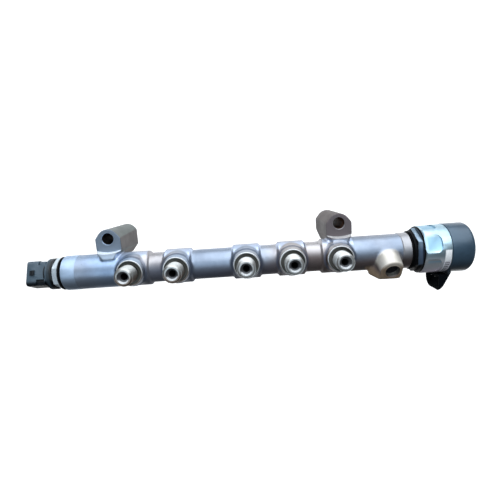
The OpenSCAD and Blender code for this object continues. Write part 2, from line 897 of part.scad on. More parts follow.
module valve_cap() {
    r = cap_d / 2;
    cavity_r = bobbin_r + yoke_wall + 2 * fit;
    color("darkslategray") difference() {
        union() {
            valve_side() turned([
                [0, cap_at],
                [r, cap_at],
                for (a = [0:15:90])
                    [r - cap_edge_r + cap_edge_r * cos(a), cap_top - cap_edge_r + cap_edge_r * sin(a)],
                [0, cap_top]
            ]);
            valve_upright() plug_prism(0);
        }
        valve_side() bar(cavity_r, cap_at - 1, sleeve_top + fit);
        valve_upright() plug_prism(plug_wall);
        for (i = [1, 2]) valve_upright() valve_terminal_shape(i);
    }
}

module valve_terminal(i) {
    color("gold") valve_upright() difference() {
        valve_terminal_shape(i);
        rotate([0, 90, 0]) bar(bobbin_r + fit, bobbin_at - 1, bobbin_top);
    }
}

// Pressure control valve, inner pieces

module valve_body() {
    groove_at = shoulder_at - shoulder_len + 0.6;
    groove_r = chamber_d / 2 - seal_wire_d;
    color("silver") valve_side() difference() {
        turned([
            [0, seat_top],
            [seat_d / 2, seat_top],
            [seat_d / 2, -chamber_depth + 0.4],
            [waist_r, -chamber_depth + 1.2],
            [waist_r, shoulder_at - shoulder_len],
            [shoulder_r, shoulder_at - shoulder_len],
            [shoulder_r, groove_at],
            [groove_r, groove_at],
            [groove_r, groove_at + seal_wire_d + support_len],
            [shoulder_r, groove_at + seal_wire_d + support_len],
            [shoulder_r, shoulder_at],
            [neck_r, shoulder_at],
            [neck_r, sleeve_at],
            [pole_r, sleeve_at],
            [pole_r, pole_top],
            [0, pole_top]
        ]);
        bar(ball_chamber_r, seat_top - 1, ball_chamber_top);
        bar(pin_d / 2 + fit, seat_top, pole_top + 1);
        for (k = [0:3])
            translate([0, 0, -return_inset]) rotate([0, 90, 90 * k]) cylinder(r = 1, h = waist_r + 1);
    }
}

module chamber_seal_ring() {
    groove_at = shoulder_at - shoulder_len + 0.6;
    color("black") valve_side() rotate_extrude()
        translate([chamber_d / 2 - seal_wire_d / 2, groove_at + seal_wire_d / 2])
            circle(d = seal_wire_d - fit, $fn = 32);
}

module chamber_support_ring() {
    groove_at = shoulder_at - shoulder_len + 0.6 + seal_wire_d;
    color("ivory") valve_side()
        tube(chamber_d / 2 - fit, chamber_d / 2 - seal_wire_d + fit, groove_at, groove_at + support_len);
}

module valve_seat() {
    cone_r = seat_hole_d / 2 + seat_cone_depth;
    color("gray") valve_side() difference() {
        bar(seat_d / 2, seat_at, seat_top);
        bar(seat_hole_d / 2, seat_at - 1, seat_top + 1);
        bar(rail_bore_d / 2 - 1.5, seat_at - 1, seat_top - 3);
        translate([0, 0, seat_top - seat_cone_depth])
            cylinder(r1 = seat_hole_d / 2, r2 = cone_r, h = seat_cone_depth + eps);
    }
}

module valve_ball() {
    color("white") valve_side() translate([0, 0, ball_at]) sphere(r = ball_r);
}

module armature_pin() {
    color("white") valve_side() bar(pin_d / 2, pin_tip, pin_top);
}

module armature() {
    color("gray") valve_side() difference() {
        bar(armature_d / 2, armature_at, armature_top);
        bar(pin_d / 2, armature_at - 1, pin_top);
        bar(spring_r + spring_wire_d, spring_seat, armature_top + 1);
        for (k = [0:3])
            rotate([0, 0, 90 * k + 45]) translate([armature_d / 2 - 2, 0, armature_at - 1])
                cylinder(r = 0.8, h = armature_top - armature_at + 2);
    }
}

// Points of a round wire section, turned to follow a coil
function coil_ring(angle, height) = [
    for (k = [0:7]) let(
            a = 360 * k / 8,
            out = spring_r + spring_wire_d / 2 * cos(a)
        ) [out * cos(angle), out * sin(angle), height + spring_wire_d / 2 * sin(a)]
];

module valve_spring() {
    steps = spring_turns * 16;
    low = spring_seat + spring_wire_d / 2 + 0.05;
    high = sleeve_top - sleeve_wall - spring_wire_d / 2 - 0.05;
    rings = [
        for (s = [0:steps]) each coil_ring(360 * spring_turns * s / steps,
            low + (high - low) * s / steps)
    ];
    sides = [
        for (s = [0:steps - 1], k = [0:7]) let(n = (k + 1) % 8)
            [8 * s + k, 8 * s + 8 + k, 8 * s + 8 + n, 8 * s + n]
    ];
    caps = [[for (k = [0:7]) k], [for (k = [7:-1:0]) 8 * steps + k]];
    color("lightgray") valve_side() polyhedron(rings, concat(sides, caps));
}

module armature_sleeve() {
    outer = sleeve_r + sleeve_wall;
    color("silver") valve_side() difference() {
        bar(outer, sleeve_at, sleeve_top);
        bar(sleeve_r, sleeve_at - 1, sleeve_top - sleeve_wall);
    }
}

module coil_bobbin() {
    inner = sleeve_r + sleeve_wall + fit;
    color("tan") valve_side() turned([
        [inner, bobbin_at],
        [bobbin_r, bobbin_at],
        [bobbin_r, bobbin_at + bobbin_flange],
        [inner + 0.9, bobbin_at + bobbin_flange],
        [inner + 0.9, bobbin_top - bobbin_flange],
        [bobbin_r, bobbin_top - bobbin_flange],
        [bobbin_r, bobbin_top],
        [inner, bobbin_top]
    ]);
}

module coil() {
    inner = sleeve_r + sleeve_wall + 2 * fit + 0.9;
    low = bobbin_at + bobbin_flange + fit;
    high = bobbin_top - bobbin_flange - fit;
    step = (high - low) / coil_layers;
    color("chocolate") valve_side() turned(concat(
        [[inner, low]],
        [for (k = [0:coil_layers - 1], e = [0.15, 0.5, 0.85])
            [winding_r - (e == 0.5 ? 0 : 0.4), low + (k + e) * step]],
        [[inner, high]]
    ));
}

module coil_yoke() {
    inner = bobbin_r + fit;
    color("slategray") valve_side() difference() {
        bar(inner + yoke_wall, yoke_at, sleeve_top);
        bar(inner, yoke_at - 1, bobbin_top);
        bar(sleeve_r + sleeve_wall + fit, yoke_at, sleeve_top + 1);
    }
}

rail_body();
sensor_body();
sensor_seal_ring();
sensor_pressure_cell();
sensor_circuit_board();
sensor_connector();
sensor_terminal(1);  // sensor_terminal_1
sensor_terminal(2);  // sensor_terminal_2
sensor_terminal(3);  // sensor_terminal_3
nut_seal_ring();
valve_union_nut();
valve_housing();
valve_cap();
valve_terminal(1);  // valve_terminal_1
valve_terminal(2);  // valve_terminal_2
valve_body();
chamber_seal_ring();
chamber_support_ring();
valve_seat();
valve_ball();
armature_pin();
armature();
valve_spring();
armature_sleeve();
coil_bobbin();
coil();
coil_yoke();
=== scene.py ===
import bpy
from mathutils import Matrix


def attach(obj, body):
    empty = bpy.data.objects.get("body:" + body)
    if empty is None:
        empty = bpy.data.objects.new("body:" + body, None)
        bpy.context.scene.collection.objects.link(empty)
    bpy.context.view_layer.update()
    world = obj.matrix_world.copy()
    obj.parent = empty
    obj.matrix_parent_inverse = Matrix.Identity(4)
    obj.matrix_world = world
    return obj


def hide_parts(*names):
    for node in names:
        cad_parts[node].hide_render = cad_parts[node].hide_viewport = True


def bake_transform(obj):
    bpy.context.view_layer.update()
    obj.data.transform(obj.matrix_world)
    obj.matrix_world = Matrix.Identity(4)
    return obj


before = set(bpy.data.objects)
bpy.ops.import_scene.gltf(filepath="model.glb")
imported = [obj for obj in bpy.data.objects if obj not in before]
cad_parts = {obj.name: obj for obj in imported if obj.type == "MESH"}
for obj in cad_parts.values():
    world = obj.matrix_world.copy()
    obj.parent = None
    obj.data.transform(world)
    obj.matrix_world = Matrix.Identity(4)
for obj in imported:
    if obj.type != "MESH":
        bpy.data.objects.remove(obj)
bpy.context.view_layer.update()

import functools
import math

import bmesh
import bpy
import numpy as np
from mathutils import Matrix, Vector

# Sizes are in millimetres in the part's own frame: x along the rail from the sensor to the valve, y across
# it and z out along the studs. The origin is on the rear face of the bosses, midway between the bolt holes.

MM = 0.001

# The tube: its centreline, the distances of its two ends from the origin, its bore and its steps
AXIS_Y, AXIS_Z = -26.0, 43.0
SENSOR_END, VALVE_END = 128.5, 144.5
BORE_R = 5.0
THIN_R, THICK_R = 11.9, 13.75
END_BLOCK, MIDDLE_BLOCK, BLOCK_STEP = 12.5, 10, 1.3

# The ports: heights are taken from the tube's centreline
PORTS = [-72.7, -37.0, 17.1, 52.4, 88.8]
PAD_R, PAD_EDGE, PAD_TOP = 12.2, 11, 16.0
STUD_R, STUD_THREAD, STUD_CUT = 7.0, (19.9, 31.3), -0.85
PITCH = 1.5

# The bosses: places, half width, draft of one flank, front and rear faces, bolt hole and milled arc
BOSSES = [-90.5, 90.5]
BOSS_HALF, BOSS_DRAFT = 10.0, 1.5
FACE_Z, REAR_Z = 49.0, 0.02
HOLE_R = 4.5
ARC_Y, ARC_R, ARC_HALF = 21.1, 32, 14

# The return port: place along the rail, angle from the studs, reach from the centreline, and thread
RETURN_X, RETURN_TURN, RETURN_REACH = 126.6, math.radians(30), 23.5
RETURN_SIN, RETURN_COS = math.sin(RETURN_TURN), math.cos(RETURN_TURN)
RETURN_CORE, RETURN_CUT = 5.1, 0.75

# The sensor's plug is turned about the centreline
SENSOR_TURN = math.radians(22)


# Materials

# Noise as scale per metre, detail and roughness
FORGED_STAIN = 38.0, 4.0, 0.6
METAL_STAIN, METAL_GRAIN = (55.0, 4.0, 0.6), (240.0, 3.0, 0.6)
PLASTIC_STAIN, PLASTIC_GRAIN = (45.0, 3.0, 0.6), (1400.0, 2.0, 0.6)

# Pairs of sRGB colours, 0 to 255: clean and stained
TUBE_BLUE = (158, 180, 206), (138, 158, 186)
TUBE_COOL = (148, 160, 177), (131, 142, 159)
TUBE_WARM = (180, 177, 178), (158, 152, 152)
# The tube's painted shade on its underside, by the valve
TUBE_UNDER_SHADE = (98, 80, 73), (80, 66, 60)
# The return port's paler top: cleaner metal and a painted highlight
RETURN_TOP = (210, 206, 198), (186, 180, 170)
RETURN_FACE = (188, 166, 142), (154, 132, 110)
CROWN_BY_SENSOR = (116, 121, 119), (102, 107, 104)
CROWN_BY_VALVE = (106, 99, 97), (94, 87, 85)
BOSS_FLANK = (112, 108, 106), (96, 92, 92)
RUST = (120, 76, 48), (70, 46, 34)
HOUSING_ZINC = (184, 210, 222), (164, 188, 200)
SENSOR_ZINC = (226, 236, 242), (196, 208, 216)
# Oxide of the nut's highest flats, painted lighter as they face the light
FLAT_OXIDE_LIT = (150, 170, 186), (126, 144, 160)
PLUG_GREY = (70, 86, 98), (60, 74, 86)
CAP_GREY = (56, 76, 92), (42, 58, 72)

# Pairs of sRGB colours for the two ends of the rail: by the sensor and by the valve
TURNED_STEEL = (164, 186, 210), (176, 170, 166)
BOSS_FRONT = (122, 134, 148), (112, 104, 106)
# Painted highlight on the bosses' milled edges and feet
BOSS_LIP_HIGHLIGHT = (228, 236, 246), (190, 188, 188)
THREADED_STEEL = (174, 175, 173), (200, 201, 200)


def rgb(*triple):
    """Linear colour of an sRGB triple given in 0 to 255."""
    shares = [c / 255.0 for c in triple]
    linear = [c / 12.92 if c <= 0.04045 else ((c + 0.055) / 1.055) ** 2.4 for c in shares]
    return (*linear, 1.0)


def darker(colour, share):
    """A linear colour scaled down, still opaque."""
    return tuple(c * share for c in colour[:3]) + (1.0,)


class Nodes:
    """Builder of a node material, with object coordinates in millimetres as x, y and z."""

    def __init__(self, name):
        self.material = bpy.data.materials.new(name)
        self.material.use_nodes = True
        self.tree = self.material.node_tree
        self.tree.nodes.clear()
        self.out = self.add("ShaderNodeOutputMaterial")
        self.coords = self.add("ShaderNodeTexCoord").outputs["Object"]
        scaled = self.add("ShaderNodeVectorMath", operation="SCALE")
        self.put(scaled.inputs["Vector"], self.coords)
        self.put(scaled.inputs["Scale"], 1 / MM)
        split = self.add("ShaderNodeSeparateXYZ")
        self.put(split.inputs[0], scaled.outputs[0])
        self.x, self.y, self.z = split.outputs

    def add(self, kind, **settings):
        node = self.tree.nodes.new(kind)
        for setting, value in settings.items():
            setattr(node, setting, value)
        return node

    def put(self, socket, value):
        """Link a socket to another one, or set its constant."""
        if isinstance(value, bpy.types.NodeSocket):
            self.tree.links.new(value, socket)
        else:
            socket.default_value = value

    def math(self, operation, a, b=0.0, clamp=False):
        node = self.add("ShaderNodeMath", operation=operation, use_clamp=clamp)
        self.put(node.inputs[0], a)
        self.put(node.inputs[1], b)
        return node.outputs[0]

    def plus(self, a, b):
        return self.math("ADD", a, b)

    def minus(self, a, b):
        return self.math("SUBTRACT", a, b)

    def size(self, a):
        return self.math("ABSOLUTE", a)

    def fold(self, operation, values):
        return functools.reduce(lambda a, b: self.math(operation, a, b), values)

    def times(self, *values):
        return self.fold("MULTIPLY", values)

    def most(self, *values):
        return self.fold("MAXIMUM", values)

    def least(self, *values):
        return self.fold("MINIMUM", values)

    def length(self, a, b):
        return self.math("SQRT", self.plus(self.times(a, a), self.times(b, b)))

    def about_axis(self, turn):
        """Coordinates across and out from the tube's centreline, turned about it."""
        y, z = self.minus(self.y, AXIS_Y), self.minus(self.z, AXIS_Z)
        sine, cosine = math.sin(turn), math.cos(turn)
        return (self.plus(self.times(y, cosine), self.times(z, sine)),
                self.minus(self.times(z, cosine), self.times(y, sine)))

    def ramp(self, value, low, high, at_low, at_high):
        """Smooth step from one number to another as a value goes from low to high."""
        node = self.add("ShaderNodeMapRange", interpolation_type="SMOOTHSTEP")
        self.put(node.inputs["Value"], value)
        self.put(node.inputs["From Min"], low)
        self.put(node.inputs["From Max"], high)
        self.put(node.inputs["To Min"], at_low)
        self.put(node.inputs["To Max"], at_high)
        return node.outputs["Result"]

    def rise(self, value, low, high):
        return self.ramp(value, low, high, 0.0, 1.0)

    def fall(self, value, low, high):
        return self.ramp(value, low, high, 1.0, 0.0)

    def band(self, value, low, high, soft):
        """Mask of the values between two limits, with soft edges."""
        return self.times(self.rise(value, low - soft, low + soft),
                          self.fall(value, high - soft, high + soft))

    def grade(self, mask, clear, full):
        """One number where a mask is clear, another where it is full."""
        return self.ramp(mask, 0.0, 1.0, clear, full)

    def mix(self, factor, a, b):
        node = self.add("ShaderNodeMix", data_type="RGBA")
        self.put(node.inputs["Factor"], factor)
        self.put(node.inputs["A"], a)
        self.put(node.inputs["B"], b)
        return node.outputs["Result"]

    def tones(self, mask, pair):
        """Mix of a pair of sRGB colours."""
        return self.mix(mask, rgb(*pair[0]), rgb(*pair[1]))

    def noise(self, scale, detail=3.0, rough=0.5):
        node = self.add("ShaderNodeTexNoise")
        self.put(node.inputs["Vector"], self.coords)
        self.put(node.inputs["Scale"], scale)
        self.put(node.inputs["Detail"], detail)
        self.put(node.inputs["Roughness"], rough)
        return node.outputs["Fac"]

    def uneven(self, stain, rough, spread=0.1):
        """Roughness that rises with a stain."""
        return self.ramp(stain, 0.3, 0.7, rough, rough + spread)

    def bump(self, height, strength, depth):
        """Normal of a relief, with its depth in millimetres."""
        node = self.add("ShaderNodeBump")
        self.put(node.inputs["Height"], height)
        self.put(node.inputs["Strength"], strength)
        self.put(node.inputs["Distance"], depth * MM)
        return node.outputs["Normal"]

    def metal_grain(self, strength):
        return self.bump(self.noise(*METAL_GRAIN), strength, 0.2)

    def plastic_grain(self):
        return self.bump(self.noise(*PLASTIC_GRAIN), 0.2, 0.1)

    def shader(self, **inputs):
        node = self.add("ShaderNodeBsdfPrincipled")
        for key, value in inputs.items():
            self.put(node.inputs[key.replace("_", " ")], value)
        self.put(self.out.inputs["Surface"], node.outputs[0])
        return self.material


def beside_ports(m):
    """Distance along the rail from the nearest port."""
    return m.least(*(m.size(m.minus(m.x, px)) for px in PORTS))


def from_ports(m):
    """Distance from the axis of the nearest port."""
    return m.length(beside_ports(m), m.minus(m.y, AXIS_Y))


def tube_colour(m, blotch, blocks):
    """Colour of the tube with its underside darkened as painted shade, and the mask of that painted shade.

    It is bluer by the sensor, and warmer in two stretches and in some clouds.
    """
    blue = m.mix(m.ramp(m.x, -116, -104, 0.25, 0.0), m.tones(blotch, TUBE_BLUE), rgb(190, 206, 222))
    cool = m.mix(m.rise(m.x, -85, -60), blue, m.tones(blotch, TUBE_COOL))
    patch = m.most(m.ramp(m.size(m.plus(m.x, 55)), 5, 22, 0.9, 0.0),
                   m.ramp(m.size(m.minus(m.x, 62)), 12, 40, 0.9, 0.0))
    patch = m.plus(patch, m.ramp(m.noise(14.0, 2.0), 0.4, 0.65, -0.1, 0.3))
    colour = m.mix(m.math("MAXIMUM", patch, 0.0, clamp=True), cool, m.tones(blotch, TUBE_WARM))
    speck = m.rise(m.noise(420.0, 2.0, 0.7), 0.68, 0.78)
    colour = m.mix(m.times(speck, 0.5), colour, rgb(70, 68, 72))
    height = m.plus(m.y, m.ramp(m.x, -80, -55, 4.0, -1.2))
    height = m.minus(m.minus(height, m.times(patch, 5.5)), m.times(blocks, 2.5))
    # Painted shade: the underside is darkened, blue-grey by the sensor and browner by the valve.
    underside_shade = m.times(m.fall(height, -33.5, -23.5), m.ramp(m.x, -80, -55, 0.45, 0.88))
    shade = m.mix(m.rise(m.x, -30, 100), rgb(92, 96, 110), m.tones(blotch, TUBE_UNDER_SHADE))
    return m.mix(underside_shade, colour, shade), underside_shade


def port_colour(m, colour, blocks):
    """Painted shade on the tops of the pads round the studs, and a painted highlight on the upper sides of
    the blocks that carry them.
    """
    reach, edge_z = from_ports(m), AXIS_Z + PAD_EDGE
    # Painted shade darkens the pads' tops.
    pad = m.times(m.fall(reach, PAD_R - 0.2, PAD_R + 1.0), m.rise(m.z, edge_z - 0.5, edge_z + 0.5))
    colour = m.mix(m.times(pad, 0.6), colour, rgb(84, 94, 114))
    # Painted highlight on the upper sides of the blocks.
    block = m.times(m.rise(reach, PAD_R + 0.6, PAD_R + 1.6), blocks, m.rise(m.y, -18, -15.5),
                    m.rise(m.z, AXIS_Z - 1, AXIS_Z + 3))
    return m.mix(m.times(block, 0.7), colour, rgb(204, 218, 242))


def return_colour(m, colour, blotch):
    """The return port, paler on top, partly as cleaner metal and partly as a painted highlight, browner on
    its face with a painted highlight on the face's upper part, and its face's mask.
    """
    u = m.minus(m.x, RETURN_X)
    v, w = m.about_axis(RETURN_TURN)
    reach = m.length(u, v)
    mouth = RETURN_REACH - 0.9, RETURN_REACH - 0.1
    # The paler top is partly cleaner metal and partly a painted highlight.
    clean = m.times(m.fall(reach, 10.2, 11.6), m.rise(w, 8.8, 10.5), m.rise(v, -1.0, 3.5),
                    m.fall(w, *mouth), m.ramp(u, 5.0, 8.5, 1.0, 0.3))
    colour = m.mix(clean, colour, m.tones(blotch, RETURN_TOP))
    face = m.times(m.most(m.rise(w, *mouth), m.fall(v, -6.0, 0.0)), m.fall(reach, 17.0, 19.0),
                   m.rise(w, 6.0, 12.0))
    # Painted highlight: the face is lighter towards its upper side.
    face_with_painted_highlight = m.mix(m.rise(v, 2.0, 7.5), m.tones(blotch, RETURN_FACE), rgb(228, 218, 204))
    return m.mix(face, colour, face_with_painted_highlight), face


def boss_colour(m, colour, blotch):
    """The bosses, duller than the tube, with painted highlights on the milled arc's edge and on the foot
    below the face, and the bosses' mask.
    """
    side = m.minus(m.x, m.times(m.math("SIGN", m.x), BOSSES[1]))
    aside = m.size(side)
    by_valve = m.rise(m.x, -20, 20)

    off_tube = m.rise(m.length(m.minus(m.y, AXIS_Y), m.minus(m.z, AXIS_Z)), 14.6, 15.6)
    boss = m.times(off_tube, m.fall(m.z, FACE_Z - 1.4, FACE_Z - 0.6),
                   m.fall(aside, BOSS_HALF + 0.1, BOSS_HALF + 0.6), m.rise(m.y, -20.5, -19.0))
    boss = m.most(boss, m.rise(m.y, -13.5, -10.5))

    on_face = FACE_Z - 0.6, FACE_Z - 0.2
    drafted = m.minus(side, m.times(m.z, BOSS_DRAFT / FACE_Z))
    flank = m.most(m.rise(drafted, 8.0, 8.5), m.fall(side, 0.1 - BOSS_HALF, 0.6 - BOSS_HALF),
                   m.fall(m.y, -12.5, -10.5))
    flank = m.times(flank, m.fall(m.z, *on_face))
    crown = m.mix(by_valve, m.tones(blotch, CROWN_BY_SENSOR), m.tones(blotch, CROWN_BY_VALVE))
    front = m.mix(m.rise(m.z, *on_face), crown, m.tones(by_valve, BOSS_FRONT))
    colour = m.mix(boss, colour, m.mix(flank, front, m.tones(blotch, BOSS_FLANK)))

    # Painted highlights: a bright line along the milled arc's edge, and a bright foot below the face.
    arc = m.length(side, m.minus(m.y, ARC_Y))
    lip_highlight = m.times(m.rise(arc, ARC_R - 0.7, ARC_R - 0.3), m.fall(arc, ARC_R + 0.2, ARC_R + 0.6),
                  m.rise(m.z, FACE_Z - 0.4, FACE_Z - 0.1), m.fall(aside, BOSS_HALF - 0.4, BOSS_HALF + 0.4))
    foot = m.times(m.rise(arc, ARC_R + 0.2, ARC_R + 0.8), m.rise(m.z, FACE_Z + 0.4, FACE_Z + 1.2),
                   m.ramp(aside, 6.4, 7.6, 0.6, 0.0), m.rise(m.y, -16.2, -15.0),
                   m.ramp(m.x, -20, 20, 1.0, 0.2))
    return m.mix(m.most(lip_highlight, foot), colour, m.tones(by_valve, BOSS_LIP_HIGHLIGHT)), boss


def forged_steel(name, machined=False):
    """Phosphated steel: cool grey, browner by the valve, with stains and fine grain; its underside is
    darkened as painted shade, and the blocks and bosses carry painted highlights.

    Machined faces have the same stains and are brighter, save on the underside, where the painted shade
    covers them.
    """
    m = Nodes(name)
    stain = m.noise(*FORGED_STAIN)
    blotch = m.rise(stain, 0.35, 0.7)
    blocks = m.fall(beside_ports(m), 11.2, 12.0)
    colour, underside_shade = tube_colour(m, blotch, blocks)
    if machined:
        # Painted shade: the bright turned colour gives way to the shaded tube colour on the underside.
        turned = m.times(m.minus(1.0, underside_shade), 0.6)
        bright = m.tones(m.rise(m.x, -100, 100), TURNED_STEEL)
        return m.shader(Base_Color=m.mix(turned, colour, bright), Metallic=0.75,
                        Roughness=m.uneven(stain, 0.40), Normal=m.bump(m.noise(60.0, 2.0), 0.06, 0.4))
    colour = port_colour(m, colour, blocks)
    colour, face = return_colour(m, colour, blotch)
    colour, boss = boss_colour(m, colour, blotch)
    dull = m.most(boss, face, underside_shade)
    rough = m.plus(m.ramp(stain, 0.3, 0.75, 0.38, 0.48), m.times(dull, 0.16))
    grain = m.plus(m.times(m.noise(900.0, 2.0, 0.6), 0.35), m.noise(170.0, 3.0, 0.6))
    return m.shader(Base_Color=colour, Metallic=m.grade(dull, 0.88, 0.45), Roughness=rough,
                    Specular_IOR_Level=m.grade(dull, 0.5, 0.2), Normal=m.bump(grain, 0.2, 0.3))


def bright_threads(name):
    """Bright machined studs, with painted shade in their thread roots and on the lower sides of those by
    the sensor.
    """
    m = Nodes(name)
    stain = m.noise(*METAL_STAIN)
    colour = m.tones(m.rise(m.x, -80, 30), THREADED_STEEL)
    colour = m.mix(m.ramp(stain, 0.4, 0.72, 0.0, 0.5), colour, rgb(150, 148, 144))
    shade = m.times(m.fall(m.y, AXIS_Y - 3, AXIS_Y + 2), m.ramp(m.x, -20, 30, 0.75, 0.0))
    colour = m.mix(shade, colour, rgb(142, 120, 106))
    reach = from_ports(m)
    thread_end = AXIS_Z + STUD_THREAD[1]
    # Painted shade in the thread roots.
    root_shade = m.times(m.fall(reach, 6.1, 6.7), m.rise(reach, 5.5, 5.8),
                   m.fall(m.z, thread_end - 0.3, thread_end + 0.1))
    return m.shader(Base_Color=m.mix(root_shade, colour, rgb(40, 38, 38)), Metallic=0.9,
                    Roughness=m.uneven(stain, 0.36), Normal=m.metal_grain(0.05))


def bright_rims(name):
    """Machined cones and collar edges, with a painted highlight on one side and painted shade on the other.
    """
    m = Nodes(name)
    bright, dark = rgb(236, 238, 240), rgb(88, 88, 90)
    reach = from_ports(m)
    mouth = m.mix(m.rise(reach, 3.4, 3.7), rgb(112, 114, 118), bright)
    # Painted light: each cone is shaded on its upper side and lit on its lower side, each collar edge lit
    # above and shaded below.
    cone = m.mix(m.rise(m.y, AXIS_Y - 2.6, AXIS_Y - 1), mouth, dark)
    collar = m.mix(m.rise(m.y, AXIS_Y - 5, AXIS_Y + 3), dark, bright)
    return m.shader(Base_Color=m.mix(m.rise(reach, 6.0, 8.0), cone, collar), Metallic=0.25,
                    Roughness=m.uneven(m.noise(*METAL_STAIN), 0.36), Normal=m.metal_grain(0.05))


def dark_bores(name):
    """Near black as painted shade inside the bores, with rust in the bolt hole by the valve."""
    m = Nodes(name)
    rust = m.tones(m.rise(m.noise(90.0, 3.0, 0.6), 0.35, 0.65), RUST)
    rusty = m.times(m.rise(m.y, -14, -10), m.rise(m.x, 0, 50))
    return m.shader(Base_Color=m.mix(rusty, rgb(34, 32, 34), rust), Metallic=0.15, Roughness=0.65,
                    Specular_IOR_Level=0.25, Normal=m.bump(m.noise(400.0, 2.0, 0.6), 0.15, 0.2))


def plated_housing(name):
    """Bluish zinc plate, duller below, where a less metallic, mauve-grey copy of it stands in as painted
    shade, with a label of plain bars on a pale field round its rear ring.
    """
    m = Nodes(name)
    stain = m.noise(*METAL_STAIN)
    across, out = m.minus(m.y, AXIS_Y), m.minus(m.z, AXIS_Z)
    # Painted shade: the lower part is a less metallic, mauve-grey copy of the plate.
    lower = m.fall(m.y, -34, -26)
    lower_shade_tone = m.mix(m.rise(m.y, -43, -36), rgb(186, 176, 184), rgb(184, 186, 190))
    colour = m.mix(lower, m.tones(m.rise(stain, 0.4, 0.72), HOUSING_ZINC), lower_shade_tone)
    pocket = m.times(m.fall(m.length(across, out), 18.0, 18.6), m.rise(m.x, 154.5, 155.2),
                     m.rise(m.y, -36, -32))
    colour = m.mix(pocket, colour, rgb(152, 188, 208))

    # The label's limits along x and round the ring in radians, and those of its bars
    label_x, label_turn = (166.8, 171.6), (-1.15, 0.09)
    bars_x, bars_end, waves = (167.4, 171.0), (-0.40, -0.38), 62.0
    turn = m.math("ARCTAN2", across, out)
    label = m.times(m.band(m.x, *label_x, 0.1), m.band(turn, *label_turn, 0.008))
    bars = m.times(m.rise(m.math("SINE", m.times(turn, waves)), -0.15, 0.15),
                   m.band(m.x, *bars_x, 0.1), m.fall(turn, *bars_end))
    field = m.mix(m.rise(turn, *bars_end), rgb(244, 242, 248), rgb(250, 250, 250))
    colour = m.mix(label, colour, m.mix(bars, field, rgb(30, 24, 32)))
    matt = m.most(label, m.times(lower, 0.8))
    return m.shader(Base_Color=colour, Metallic=m.grade(matt, 1.0, 0.0),
                    Roughness=m.uneven(stain, 0.38), Normal=m.metal_grain(0.1))


def black_nut(name):
    """Black oxide, with bright metal on the hexagon's upper flats, painted lighter on the highest of them;
    the rest is black, partly as painted shade.
    """
    m = Nodes(name)
    stain = m.rise(m.noise(*METAL_STAIN), 0.4, 0.72)
    # Painted light: only the upper flats are bright metal, and the lower of these are painted darker as
    # shade.
    flats = m.times(m.rise(m.x, 148.0, 148.4), m.fall(m.x, 151.2, 151.5),
                    m.rise(m.y, AXIS_Y - 11, AXIS_Y - 8))
    lower_flat_shade = m.fall(m.y, AXIS_Y + 1, AXIS_Y + 7)
    flats_painted_light = m.mix(lower_flat_shade, m.tones(stain, FLAT_OXIDE_LIT), rgb(112, 132, 158))
    return m.shader(Base_Color=m.mix(flats, rgb(16, 17, 19), flats_painted_light), Metallic=m.grade(flats, 0.0, 0.95),
                    Roughness=m.grade(stain, 0.34, 0.44), Specular_IOR_Level=0.04,
                    Normal=m.metal_grain(0.1))


def plated_sensor(name):
    """Pale zinc plate on the sensor's hexagon, with its collar against the seal painted black as shade."""
    m = Nodes(name)
    stain = m.noise(*METAL_STAIN)
    # Painted shade: the collar against the seal is black.
    collar = m.rise(m.x, -131.6, -131.1)
    colour = m.mix(collar, m.tones(m.rise(stain, 0.4, 0.72), SENSOR_ZINC), rgb(16, 17, 18))
    return m.shader(Base_Color=colour, Metallic=m.grade(collar, 0.4, 0.0),
                    Roughness=m.uneven(stain, 0.32), Normal=m.metal_grain(0.1))


def metal(name, colour, rough, metallic=1.0, grain=0.12):
    """Stained bare metal."""
    m = Nodes(name)
    stain = m.noise(*METAL_STAIN)
    return m.shader(Base_Color=m.mix(m.rise(stain, 0.4, 0.72), colour, darker(colour, 0.7)),
                    Metallic=metallic, Roughness=m.uneven(stain, rough), Normal=m.metal_grain(grain))


def sensor_plastic(name):
    """Blue-grey plug with painted shade: a darker flange, painted darkest next to the hexagon, dark shadows
    on the nub and in the clip window, and darker towards its lower edge.
    """
    m = Nodes(name)
    up, front = m.about_axis(-SENSOR_TURN)
    stain = m.rise(m.noise(*PLASTIC_STAIN), 0.35, 0.7)
    # Painted shade towards the lower edge.
    bottom_shade = m.fall(up, -8.8, -5.5)
    colour = m.mix(bottom_shade, m.tones(stain, PLUG_GREY), rgb(22, 28, 34))
    # Painted shade on the flange, darkest next to the hexagon.
    rim = m.mix(m.rise(m.x, -138.5, -137.0), rgb(44, 56, 64), rgb(16, 18, 21))
    colour = m.mix(m.rise(m.x, -140.2, -139.4), colour, rim)
    # Painted shadows on the nub and in the clip window.
    nub = m.times(m.rise(front, 9.1, 9.4), m.fall(m.x, -142, -141))
    window = m.times(m.rise(m.x, -149.5, -148.9), m.fall(m.x, -143.1, -142.5), m.fall(up, -5.6, -5.0),
                     m.rise(front, 6.0, 6.6), m.fall(front, 8.2, 8.8))
    return m.shader(Base_Color=m.mix(m.most(nub, window), colour, rgb(20, 25, 30)),
                    Specular_IOR_Level=m.grade(bottom_shade, 0.5, 0.1), Roughness=m.grade(stain, 0.42, 0.54),
                    Normal=m.plastic_grain())


def cap_plastic(name):
    """Blue-grey cap, painted darker below as shade, whose plug is black."""
    m = Nodes(name)
    colour = m.tones(m.rise(m.noise(*PLASTIC_STAIN), 0.35, 0.7), CAP_GREY)
    # Painted shade: the cap is darker below.
    colour = m.mix(m.fall(m.y, -46, -30), colour, rgb(30, 36, 42))
    plug = m.fall(m.y, AXIS_Y - 19.6, AXIS_Y - 18.9)
    return m.shader(Base_Color=m.mix(plug, colour, rgb(9, 12, 16)), Roughness=m.grade(plug, 0.34, 0.8),
                    Specular_IOR_Level=m.grade(plug, 0.8, 0.03), Specular_Tint=(0.72, 0.86, 1.0, 1.0),
                    Normal=m.plastic_grain())


